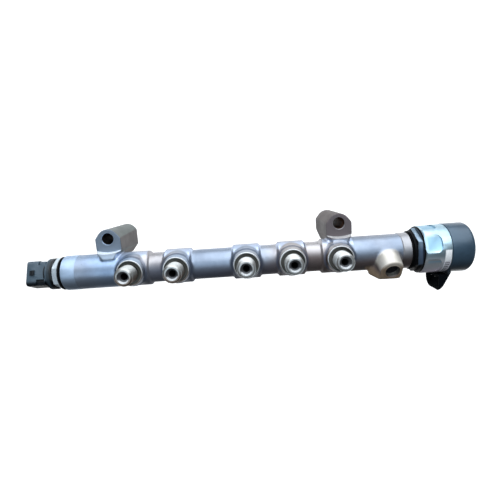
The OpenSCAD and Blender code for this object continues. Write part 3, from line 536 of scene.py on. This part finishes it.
def plastic(name, colour, rough, shine=0.5):
    """Moulded plastic or rubber with faint stains."""
    m = Nodes(name)
    stain = m.noise(*PLASTIC_STAIN)
    return m.shader(Base_Color=m.mix(m.rise(stain, 0.35, 0.7), colour, darker(colour, 0.72)),
                    Specular_IOR_Level=shine, Roughness=m.uneven(stain, rough, 0.12),
                    Normal=m.plastic_grain())


# Each finish is a material and its slot
FINISHES = {
    "forged": (forged_steel("forged_steel_skin"), "forged_steel"),
    "machined": (forged_steel("forged_steel_machined", machined=True), "forged_steel"),
    "stud": (bright_threads("bright_threads"), "forged_steel"),
    "rim": (bright_rims("bright_rims"), "forged_steel"),
    # The recesses are painted a darker steel as shade, and are dull.
    "recess": (metal("dull_shaded_recesses", rgb(106, 104, 98), 0.5, 0.6, 0.1), "forged_steel"),
    "bore": (dark_bores("dark_bores"), "forged_steel"),
    "zinc": (plated_sensor("zinc_plated_sensor"), "zinc_plate"),
    "housing": (plated_housing("zinc_plated_housing"), "valve_plate"),
    "black_steel": (black_nut("black_oxide_nut"), "black_oxide"),
    "steel": (metal("turned_steel_parts", rgb(196, 198, 202), 0.25), "turned_steel"),
    "contact": (metal("tinned_contacts", rgb(206, 204, 198), 0.3), "tinned_contact"),
    # The valve's terminals are painted dark as shade inside the plug.
    "dim": (metal("contacts_darkened_as_shade", rgb(60, 58, 56), 0.55, 0.5, 0.1), "tinned_contact"),
    "spring": (metal("drawn_spring_wire", rgb(170, 172, 176), 0.3), "spring_steel"),
    "copper": (metal("copper_winding", rgb(180, 104, 62), 0.35), "copper_wire"),
    "rubber": (plastic("black_seals", rgb(15, 15, 16), 0.7, 0.04), "black_seal"),
    "plug": (sensor_plastic("sensor_plug_plastic"), "black_plastic"),
    "cap": (cap_plastic("valve_cap_plastic"), "cap_plastic"),
    "natural": (plastic("natural_plastic", rgb(214, 200, 170), 0.45), "support_plastic"),
    "board": (plastic("board_lacquer", rgb(30, 92, 56), 0.35), "circuit_board"),
}


# Meshes

SHARP_TURNED, SHARP_DRESSED = math.radians(30), math.radians(24)
FLAT_ANGLE, BEVEL_ANGLE = math.radians(0.5), math.radians(28)
WELD = 0.001
END_SEGMENTS, PORT_SEGMENTS, HOLE_SEGMENTS = 96, 72, 64

# Thread form as shares of the pitch and of the depth
THREAD_FORM = [(0.0, 0), (0.125, 0), (0.44, 1), (0.69, 1)]
STUDWARD = (0, 0, 1)


def shown(name, mesh, key):
    """New object of the scene, with a mesh and its material."""
    mesh.materials.append(FINISHES[key][0])
    obj = bpy.data.objects.new(name, mesh)
    bpy.context.scene.collection.objects.link(obj)
    return obj


def rail_piece(name, verts, quads, key, normals=None):
    """One surface of the rail, from vertices in millimetres and quads."""
    verts, quads = np.asarray(verts, float) * MM, np.asarray(quads, np.int32)
    mesh = bpy.data.meshes.new(name)
    mesh.vertices.add(len(verts))
    mesh.vertices.foreach_set("co", verts.ravel())
    mesh.loops.add(quads.size)
    mesh.loops.foreach_set("vertex_index", quads.ravel())
    mesh.polygons.add(len(quads))
    mesh.polygons.foreach_set("loop_start", np.arange(0, quads.size, 4, dtype=np.int32))
    mesh.update(calc_edges=True)
    mesh.validate()
    mesh.shade_smooth()
    if normals is None:
        mesh.set_sharp_from_angle(angle=SHARP_TURNED)
    else:
        mesh.normals_split_custom_set_from_vertices([tuple(n) for n in normals])
    obj = shown(name, mesh, key)
    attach(obj, "rail")
    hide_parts("rail_body")


def placed(grid, origin, along):
    """Local points, whose third axis is the given direction, taken to the part's frame."""
    along = Vector(along).normalized()
    side = along.orthogonal().normalized()
    return grid @ np.array([side, along.cross(side), along]) + np.array(origin)


class Shape:
    """Vertices and quads gathered from several turned surfaces."""

    def __init__(self):
        self.verts, self.quads = [], []

    def add(self, grid, joined):
        """Rows of points, with a quad from a point on to the next row where joined is true."""
        cols = grid.shape[1]
        base = len(self.verts)
        self.verts.extend(grid.reshape(-1, 3))
        for i, j in np.argwhere(joined):
            a, b = base + i * cols + j, base + i * cols + (j + 1) % cols
            self.quads.append((a, b, b + cols, a + cols))

    def turned(self, profile, origin, along, segments=PORT_SEGMENTS):
        """Surface of revolution. The profile is (radius, height) from its outer foot up, over and in."""
        turn = np.arange(segments) * 2 * math.pi / segments
        profile = np.array(profile, float)
        radius, height = profile[:, :1], np.repeat(profile[:, 1:], segments, 1)
        grid = np.stack([radius * np.cos(turn), radius * np.sin(turn), height], -1)
        self.add(placed(grid, origin, along), np.ones((len(profile) - 1, segments), bool))

    def thread(self, low, high, radius, cut, origin, along, segments=PORT_SEGMENTS, runout=False):
        """Helical thread between two heights. The cut is below 0 into a stud and above 0 into a bore.

        With a runout, the cut grows from a tenth to its full depth over 0.9 mm at either end.
        """
        turn = np.arange(segments + 1) * 2 * math.pi / segments
        turns = int((high - low) / PITCH) + 2
        rows = [(k + part, share * cut) for k in range(-1, turns) for part, share in THREAD_FORM]
        height = np.array([[low + (row + t / (2 * math.pi)) * PITCH for t in turn] for row, _ in rows])
        height = np.clip(height, low, high)
        depth = np.array([[row_cut] * len(turn) for _, row_cut in rows])
        if runout:
            depth *= np.minimum(1, np.minimum(height - low, high - height) + 0.1)
        ring = radius + depth
        grid = np.stack([ring * np.cos(turn), ring * np.sin(turn), height], -1)
        level = height[:-1] == height[1:]
        self.add(placed(grid, origin, along), ~(level[:, :-1] & level[:, 1:]))


# Rail: a smooth forged skin with turned and threaded surfaces let into it

def smin(a, b, k):
    """Smaller of two distances, blended over a width."""
    h = np.clip(0.5 + 0.5 * (b - a) / k, 0, 1)
    return b * (1 - h) + a * h - k * h * (1 - h)


def smax(a, b, k):
    """Larger of two distances, blended over a width."""
    return -smin(-a, -b, k)


def tube_radius():
    """Radius of the forged tube along the rail, with its steps softened."""
    left, right, spare = -140, 160, 10
    first, last = PORTS[0] + END_BLOCK, PORTS[-1] - END_BLOCK
    at = [(left, THICK_R), (first, THICK_R), (first + BLOCK_STEP, THIN_R)]
    for px in PORTS[1:-1]:
        at += [(px - MIDDLE_BLOCK - BLOCK_STEP, THIN_R), (px - MIDDLE_BLOCK, THICK_R),
               (px + MIDDLE_BLOCK, THICK_R), (px + MIDDLE_BLOCK + BLOCK_STEP, THIN_R)]
    at += [(last - BLOCK_STEP, THIN_R), (last, THICK_R), (right, THICK_R)]
    x = np.arange(left, right, 0.1)
    r = np.interp(x, [a[0] for a in at], [a[1] for a in at])
    kernel = np.exp(-np.linspace(-2.2, 2.2, 2 * spare + 1) ** 2)
    return x, np.convolve(np.pad(r, spare, mode="edge"), kernel / kernel.sum(), mode="valid")


TUBE = tube_radius()

# Sampling of the field: grid step, and the spacing of samples for its slope and for smooth normals
STEP, SLOPE_PROBE, NORMAL_PROBE = 0.7, 0.02, 0.12

# Half of a boss's crown seen from the front, as (aside, y), and the rounding of its three sides
BOSS_CROWN = [(10, 0.3), (7.6, 3.88), (5, 6.36), (2, 7.6)]
CROWN_ROUNDING = (0.5, 1.2, 1.2)
BOSS_LOW, FOOT_TOP = -18, 54


def edge(p, q, a, b):
    """Signed distance from the line through two points of a plane."""
    nx, ny = p[1] - q[1], q[0] - p[0]
    return ((a - p[0]) * nx + (b - p[1]) * ny) / -math.hypot(nx, ny)


def return_port(x, across, out):
    """The return port: a round top and a block beside it, both cut to the port's reach.

    Here u runs along the rail, v across the port and w along its axis. The upper part of the sides slopes
    from the height of 14.4 mm, and the factors after sloping sides bring them back to true distances.
    """
    u = x - RETURN_X
    v = RETURN_COS * across + RETURN_SIN * out
    w = RETURN_COS * out - RETURN_SIN * across
    from_u, from_v = u + 7, v - 4
    flat_side = u - 7.5
    up = w - 14.4
    sloped = (-v - 10.1 + 0.253 * up) * 0.969
    dome = (np.hypot(u, v) - 10.3 + 0.142 * (w - 13.75)) * 0.99
    dome = smax(dome, sloped, 0.5)
    left = smax(-u - 14.7, (-u - 14.7 + 0.604 * up) * 0.856, 0.8)
    front = smax((-v - 7.8 - 0.307 * (w - 6.9)) * 0.956, sloped, 0.8)
    part = np.clip(up / 9.1, 0, 1)
    shoulder = -(0.762 + 0.201 * part) * from_u + (0.648 - 0.38 * part) * from_v
    block = smax(smax(left, front, 1.2), shoulder, 1.6)
    block = smax(block, (from_v + 0.276 * from_u) * 0.964, 1.0)
    block = smax(block, 0.997 * flat_side - 0.079 * v, 0.8)
    both = smax(smin(dome, block, 0.8), w - RETURN_REACH, 1.1)
    return np.maximum(smax(both, flat_side, 0.7), -w)


def boss_block(side, y, z):
    """A mounting boss from its rear face to its front face, with one drafted flank."""
    aside = np.abs(side)
    section = np.maximum(-BOSS_HALF - side, side - 8.5 - BOSS_DRAFT * z / FACE_Z)
    for p, q, k in zip(BOSS_CROWN, BOSS_CROWN[1:], CROWN_ROUNDING):
        section = smax(section, edge(p, q, aside, y), k)
    section = smax(section, y - BOSS_CROWN[-1][1], 1.2)
    section = smax(section, edge((2.8, BOSS_LOW), (10, -9), side, y), 0.8)
    section = smax(section, edge((6.4, BOSS_LOW), (10, -9), -side, y), 0.8)
    section = smax(section, BOSS_LOW - y, 1.0)
    return smax(smax(section, z - FACE_Z, 0.6), REAR_Z - z, 0.7)


def boss_foot(side, y, z):
    """The foot that carries a boss: it widens away from the tube and narrows towards its top."""
    high = (z - AXIS_Z) / (FOOT_TOP - AXIS_Z)
    near = (y + 17.5 - 1.5 * high) / (7.5 - 1.5 * high)
    width = (5.4 + 4.6 * near) * (1 - high) + (4.6 + 4 * near) * high
    foot = smax((np.abs(side) - width) * 0.87, z - FOOT_TOP, 1.2)
    foot = smax(foot, np.maximum(y + 10, AXIS_Z - z), 1.0)
    return smax(foot, (-17.5 + 1.5 * high - y) * 0.98, 1.5)


def rail_field(x, y, z):
    """Signed distance, in millimetres, from the forged skin."""
    across, out = y - AXIS_Y, z - AXIS_Z
    d = np.hypot(across, out) - np.interp(x, *TUBE)
    for px in PORTS:
        q = np.hypot(x - px, across) - PAD_R
        pad = np.maximum(q, (q + 0.409 * (out - PAD_EDGE)) * 0.926)
        d = smin(d, np.maximum(np.maximum(pad, -out), out - PAD_TOP), 2.2)
    d = smin(d, return_port(x, across, out), 1.4)
    for bx in BOSSES:
        side = x - bx
        d = smin(d, smin(boss_block(side, y, z), boss_foot(side, y, z), 0.8), 2.2)
        milled = np.maximum(np.hypot(side, y - ARC_Y) - ARC_R, FACE_Z - z)
        d = smax(d, -np.maximum(milled, np.abs(side) - ARC_HALF), 0.4)
    return d


def slope(field, p, e):
    """Value and gradient of a field at some points, from samples a distance e away."""
    x, y, z = p.T
    grad = np.stack([
        field(x + e, y, z) - field(x - e, y, z),
        field(x, y + e, z) - field(x, y - e, z),
        field(x, y, z + e) - field(x, y, z - e),
    ], -1) / (2 * e)
    return field(x, y, z), grad


def net_points(f):
    """A point, in steps, in every cell of a grid that its zero surface crosses, and each cell's number."""
    corners = [(i, j, k) for i in (0, 1) for j in (0, 1) for k in (0, 1)]
    inside = f < 0
    nx, ny, nz = f.shape
    total = sum(inside[i:nx - 1 + i, j:ny - 1 + j, k:nz - 1 + k].astype(np.uint8) for i, j, k in corners)
    crossed = (total > 0) & (total < 8)
    cells = np.argwhere(crossed)
    number = np.full(crossed.shape, -1, np.int32)
    number[crossed] = np.arange(len(cells))
    points = np.zeros((len(cells), 3))
    hits = np.zeros(len(cells))
    for a in corners:
        for axis in range(3):
            if a[axis]:
                continue
            b = tuple(v + (n == axis) for n, v in enumerate(a))
            fa = f[tuple((cells + a).T)]
            fb = f[tuple((cells + b).T)]
            m = (fa < 0) != (fb < 0)
            t = (fa[m] / (fa[m] - fb[m]))[:, None]
            points[m] += np.array(a) + t * (np.array(b) - np.array(a))
            hits[m] += 1
    return cells + points / hits[:, None], number


def net_quads(f, number):
    """A quad round every grid edge that the zero surface crosses, facing out."""
    inside = f < 0
    quads = []
    for axis, (p, q) in enumerate([(1, 2), (2, 0), (0, 1)]):
        near = np.take(inside, np.arange(f.shape[axis] - 1), axis)
        far = np.take(inside, np.arange(1, f.shape[axis]), axis)
        at = np.argwhere(near != far)
        at = at[(at[:, p] > 0) & (at[:, q] > 0)]
        at = at[(at[:, p] < f.shape[p] - 1) & (at[:, q] < f.shape[q] - 1)]
        back_p, back_q = np.eye(3, dtype=int)[[p, q]]
        ring = [at - back_p - back_q, at - back_q, at, at - back_p]
        quad = np.stack([number[tuple(cell.T)] for cell in ring], -1)
        outward = near[tuple(at.T)]
        quads.append(np.where(outward[:, None], quad, quad[:, ::-1]))
    quads = np.concatenate(quads)
    return quads[(quads >= 0).all(1)]


def surface_net(field, low, high):
    """Quad mesh of a field's zero surface, with its vertices set on that surface, and its slopes there."""
    axes = [np.arange(a, b, STEP, dtype=np.float32) for a, b in zip(low, high)]
    f = field(*np.meshgrid(*axes, indexing="ij", sparse=True)).astype(np.float32)
    points, number = net_points(f)
    verts = points * STEP + np.array([a[0] for a in axes])
    for _ in range(3):
        d, grad = slope(field, verts, SLOPE_PROBE)
        verts -= grad * (d / np.maximum((grad * grad).sum(1), 0.1))[:, None]
    return verts, net_quads(f, number), slope(field, verts, NORMAL_PROBE)[1]


def rail_skin():
    """The forged skin, open where turned and threaded surfaces take its place."""
    verts, quads, normals = surface_net(rail_field, (-119, -47, -1.2), (139.2, 9.4, 70))
    x, y, z = verts[quads].mean(1).T
    across, out = y - AXIS_Y, z - AXIS_Z
    port_gap, hole_gap, return_gap = 11.4, 5.9, 6.9
    keep = (x > -118.6) & (x < 138.6)
    for px in PORTS:
        keep &= ~((np.hypot(x - px, across) < port_gap) & (out > 14.6))
    faces = (z > FACE_Z - 0.2) & (z < FACE_Z + 0.2) | (z < 0.3)
    for bx in BOSSES:
        keep &= ~((np.hypot(x - bx, y) < hole_gap) & faces)
    v = RETURN_COS * across + RETURN_SIN * out
    w = RETURN_COS * out - RETURN_SIN * across
    keep &= ~((np.hypot(x - RETURN_X, v) < return_gap) & (w > RETURN_REACH - 0.2))
    used, quads = np.unique(quads[keep], return_inverse=True)
    normals = normals[used] / np.linalg.norm(normals[used], axis=1)[:, None]
    rail_piece("rail_skin", verts[used], quads.reshape(-1, 4), "forged", normals)


# A port from its collar's skirt to its bore, as finishes with outlines of (radius, height)
PORT_OUTLINE = [
    ("machined", [(11.33, 13.2), (10.42, 15.4), (10.1, 17.4)]),
    ("rim", [(10.1, 17.4), (9.95, 17.7), (9.7, 17.8)]),
    ("stud", [(9.7, 17.8), (9.3, 17.8), (9.15, 17.6)]),
    ("recess", [(9.15, 17.6), (9.1, 15.9), (6.2, 15.8)]),
    ("stud", [(6.2, 15.8), (6.05, 15.9), (6.05, 19.2), (6.25, 19.5), (6.25, 20.0)]),
    ("stud", [(6.4, 31.2), (6.75, 31.2), (5.9, 32.2), (5.6, 32.45), (5.2, 32.5), (4.6, 32.5)]),
    ("rim", [(4.6, 32.5), (4.28, 32.4), (2.6, 29.56)]),
    ("bore", [(2.6, 29.56), (2.6, 9), (0.45, 9), (0.45, 4.9)]),
]

# The rail's ends, from the land on the outside, over the end face, and in along the bore
SENSOR_OUTLINE = [
    (13.4, 117.2), (13.8, 117.2), (13.9, 117.4), (13.9, SENSOR_END - 0.6), (13.3, SENSOR_END),
    (8.15, SENSOR_END), (8.15, 115.5), (BORE_R, 112.35), (BORE_R, 20),
]
VALVE_OUTLINE = [
    (13.4, 137.2), (13.75, 137.3), (14.3, 137.9), (14.3, VALVE_END - 0.6), (13.7, VALVE_END),
    (11, VALVE_END), (11, 135.1), (10.2, 135.1), (10.2, 122.5), (6.45, 122.5), (6.45, 113.5),
    (BORE_R, 113.5), (BORE_R, -20),
]

# A bolt hole and the return port, with their edges broken
HOLE_OUTLINE = [
    ("forged", [(6.2, FACE_Z), (4.9, FACE_Z)]),
    ("machined", [(4.9, FACE_Z), (HOLE_R, FACE_Z - 0.5)]),
    ("forged", [(HOLE_R, REAR_Z), (6.2, REAR_Z)]),
    ("bore", [(HOLE_R, FACE_Z - 0.5), (HOLE_R, REAR_Z)]),
]
RETURN_OUTLINE = [
    ("forged", [(7.1, RETURN_REACH), (5.6, RETURN_REACH)]),
    ("machined", [(5.6, RETURN_REACH), (RETURN_CORE, RETURN_REACH - 0.6)]),
    ("bore", [(RETURN_CORE, 13.6), (RETURN_CORE, 13), (2, 13), (2, 8)]),
]
RETURN_THREADS = [("bore", 13.6, 19.6), ("recess", 19.6, 22.8)]

# Pieces of the rail beside its skin, by their finish
RAIL_PIECES = {"forged": "rail_faces", "machined": "rail_machined", "stud": "rail_threads",
               "rim": "rail_rims", "recess": "rail_recesses", "bore": "rail_bores"}


def rail_machined():
    """The turned, threaded and bored surfaces of the rail."""
    shapes = {key: Shape() for key in RAIL_PIECES}
    centre = (0, AXIS_Y, AXIS_Z)
    shapes["machined"].turned(SENSOR_OUTLINE, centre, (-1, 0, 0), END_SEGMENTS)
    shapes["machined"].turned(VALVE_OUTLINE, centre, (1, 0, 0), END_SEGMENTS)
    for px in PORTS:
        at = (px, AXIS_Y, AXIS_Z)
        for key, outline in PORT_OUTLINE:
            shapes[key].turned(outline, at, STUDWARD)
        shapes["stud"].thread(*STUD_THREAD, STUD_R, STUD_CUT, at, STUDWARD)
    for bx in BOSSES:
        for key, outline in HOLE_OUTLINE:
            shapes[key].turned(outline, (bx, 0, 0), STUDWARD, HOLE_SEGMENTS)
    at, along = (RETURN_X, AXIS_Y, AXIS_Z), (0, -RETURN_SIN, RETURN_COS)
    for key, outline in RETURN_OUTLINE:
        shapes[key].turned(outline, at, along, HOLE_SEGMENTS)
    for key, low, high in RETURN_THREADS:
        shapes[key].thread(low, high, RETURN_CORE, RETURN_CUT, at, along, HOLE_SEGMENTS, runout=True)
    for key, name in RAIL_PIECES.items():
        rail_piece(name, shapes[key].verts, shapes[key].quads, key)


# Other pieces, from the meshes of their CAD nodes

def dressed(node, key, bevel=0.25):
    """A CAD node's own mesh with its edges broken and a material."""
    bm = bmesh.new()
    bm.from_mesh(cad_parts[node].data)
    bmesh.ops.remove_doubles(bm, verts=bm.verts, dist=WELD * MM)
    bmesh.ops.dissolve_limit(bm, angle_limit=FLAT_ANGLE, verts=bm.verts, edges=bm.edges)
    corners = [e for e in bm.edges if len(e.link_faces) == 2 and e.calc_face_angle(0) > BEVEL_ANGLE]
    bmesh.ops.bevel(bm, geom=corners, offset=bevel * MM, segments=2, profile=0.6, affect="EDGES",
                    clamp_overlap=True)
    mesh = bpy.data.meshes.new(node + "_dressed")
    bm.to_mesh(mesh)
    bm.free()
    mesh.shade_smooth()
    mesh.set_sharp_from_angle(angle=SHARP_DRESSED)
    obj = shown(node + "_dressed", mesh, key)
    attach(obj, "rail")
    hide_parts(node)


def coil_spring(node, key):
    """A copy of a CAD node's own mesh with a material, in place of the node."""
    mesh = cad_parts[node].data.copy()
    mesh.materials.clear()
    obj = shown(node + "_coils", mesh, key)
    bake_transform(obj)
    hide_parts(node)


def plain(node, key):
    """A hidden or tiny CAD node that keeps its own mesh."""
    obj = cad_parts[node]
    obj.data.materials.clear()
    obj.data.materials.append(FINISHES[key][0])


PLAIN_NODES = {
    "rubber": ["sensor_seal_ring", "nut_seal_ring", "chamber_seal_ring"],
    "steel": ["sensor_pressure_cell", "valve_body", "valve_seat", "valve_ball", "armature_pin", "armature",
              "armature_sleeve", "coil_yoke"],
    "board": ["sensor_circuit_board"],
    "contact": ["sensor_terminal_1", "sensor_terminal_2", "sensor_terminal_3"],
    "dim": ["valve_terminal_1", "valve_terminal_2"],
    "natural": ["chamber_support_ring", "coil_bobbin"],
    "copper": ["coil"],
}

rail_skin()
rail_machined()
dressed("sensor_body", "zinc")
dressed("sensor_connector", "plug", bevel=0.3)
dressed("valve_union_nut", "black_steel")
dressed("valve_housing", "housing")
dressed("valve_cap", "cap", bevel=0.35)
coil_spring("valve_spring", "spring")
for finish, names in PLAIN_NODES.items():
    for name in names:
        plain(name, finish)


# Stage, with its places and sizes in metres

WHITE = (1, 1, 1, 1)
AIM = (0, -0.02, 0.04)
FLOOR_HALF, FLOOR_Z = 6.0, -0.6
ROOM_COLOUR, ROOM_STRENGTH = (0.90, 0.86, 0.82, 1), 0.07
CAMERA_PLACE = (0.02523, 0.03164, 0.33962)
CAMERA_AXES = ((0.99754431, -0.06982751, -0.00542868),
               (0.06800178, 0.98418088, -0.16359629),
               (0.01676632, 0.16282539, 0.98651243))


def pale_floor():
    """A pale floor, evenly white to the camera and darker in reflections far from the part."""
    m = Nodes("pale_floor")
    rays = m.add("ShaderNodeLightPath").outputs
    out = m.most(m.size(m.x), m.size(m.plus(m.y, 120)))
    mirrored = m.times(m.most(rays["Is Glossy Ray"], rays["Is Transmission Ray"]),
                       m.ramp(out, 660, 900, 0.88, 0.08))
    seen = m.times(rays["Is Camera Ray"], m.ramp(out, 660, 1500, 0.88, 0.97))
    glow = m.add("ShaderNodeEmission")
    m.put(glow.inputs["Color"], WHITE)
    m.put(glow.inputs["Strength"], m.most(seen, mirrored))
    dull = m.add("ShaderNodeBsdfDiffuse")
    m.put(dull.inputs["Color"], m.mix(m.noise(3.0, 2.0), (0.62, 0.62, 0.62, 1), (0.6, 0.6, 0.605, 1)))
    both = m.add("ShaderNodeAddShader")
    m.put(both.inputs[0], glow.outputs[0])
    m.put(both.inputs[1], dull.outputs[0])
    m.put(m.out.inputs["Surface"], both.outputs[0])

    mesh = bpy.data.meshes.new("floor")
    corners = [(-1, -1), (1, -1), (1, 1), (-1, 1)]
    mesh.from_pydata([(i * FLOOR_HALF, j * FLOOR_HALF, FLOOR_Z) for i, j in corners], [], [(0, 1, 2, 3)])
    mesh.materials.append(m.material)
    floor = bpy.data.objects.new("floor", mesh)
    bpy.context.scene.collection.objects.link(floor)


def studio_world():
    """A dim room that the camera itself sees as white."""
    world = bpy.data.worlds.new("studio")
    bpy.context.scene.world = world
    world.use_nodes = True
    tree = world.node_tree
    room = tree.nodes["Background"]
    room.inputs["Color"].default_value = ROOM_COLOUR
    room.inputs["Strength"].default_value = ROOM_STRENGTH
    backdrop = tree.nodes.new("ShaderNodeBackground")
    backdrop.inputs["Color"].default_value = WHITE
    choice = tree.nodes.new("ShaderNodeMixShader")
    rays = tree.nodes.new("ShaderNodeLightPath").outputs
    tree.links.new(rays["Is Camera Ray"], choice.inputs[0])
    tree.links.new(room.outputs[0], choice.inputs[1])
    tree.links.new(backdrop.outputs[0], choice.inputs[2])
    tree.links.new(choice.outputs[0], tree.nodes["World Output"].inputs["Surface"])


def area_light(name, size, power, place, colour):
    """A rectangular light aimed at the part."""
    data = bpy.data.lights.new(name, "AREA")
    data.shape = "RECTANGLE"
    data.size, data.size_y = size
    data.energy = power
    data.color = colour
    obj = bpy.data.objects.new(name, data)
    obj.location = place
    obj.rotation_euler = (Vector(AIM) - Vector(place)).to_track_quat("-Z", "Y").to_euler()
    bpy.context.scene.collection.objects.link(obj)


def photo_camera():
    """The camera, where the photo was taken from."""
    data = bpy.data.cameras.new("camera")
    data.lens, data.sensor_width = 27.0, 36.0
    data.clip_start = 0.01
    camera = bpy.data.objects.new("camera", data)
    turn = Matrix(CAMERA_AXES).transposed().to_4x4()
    camera.matrix_world = Matrix.Translation(CAMERA_PLACE) @ turn
    bpy.context.scene.collection.objects.link(camera)
    bpy.context.scene.camera = camera


pale_floor()
studio_world()
area_light("key", (2.0, 1.6), 29.0, (0.1, 0.95, 0.42), (0.90, 0.95, 1.0))
area_light("fill", (1.5, 0.7), 6.0, (-0.15, 0.12, 1.25), (0.74, 0.88, 1.0))
photo_camera()
bpy.context.scene.view_settings.view_transform = "Standard"
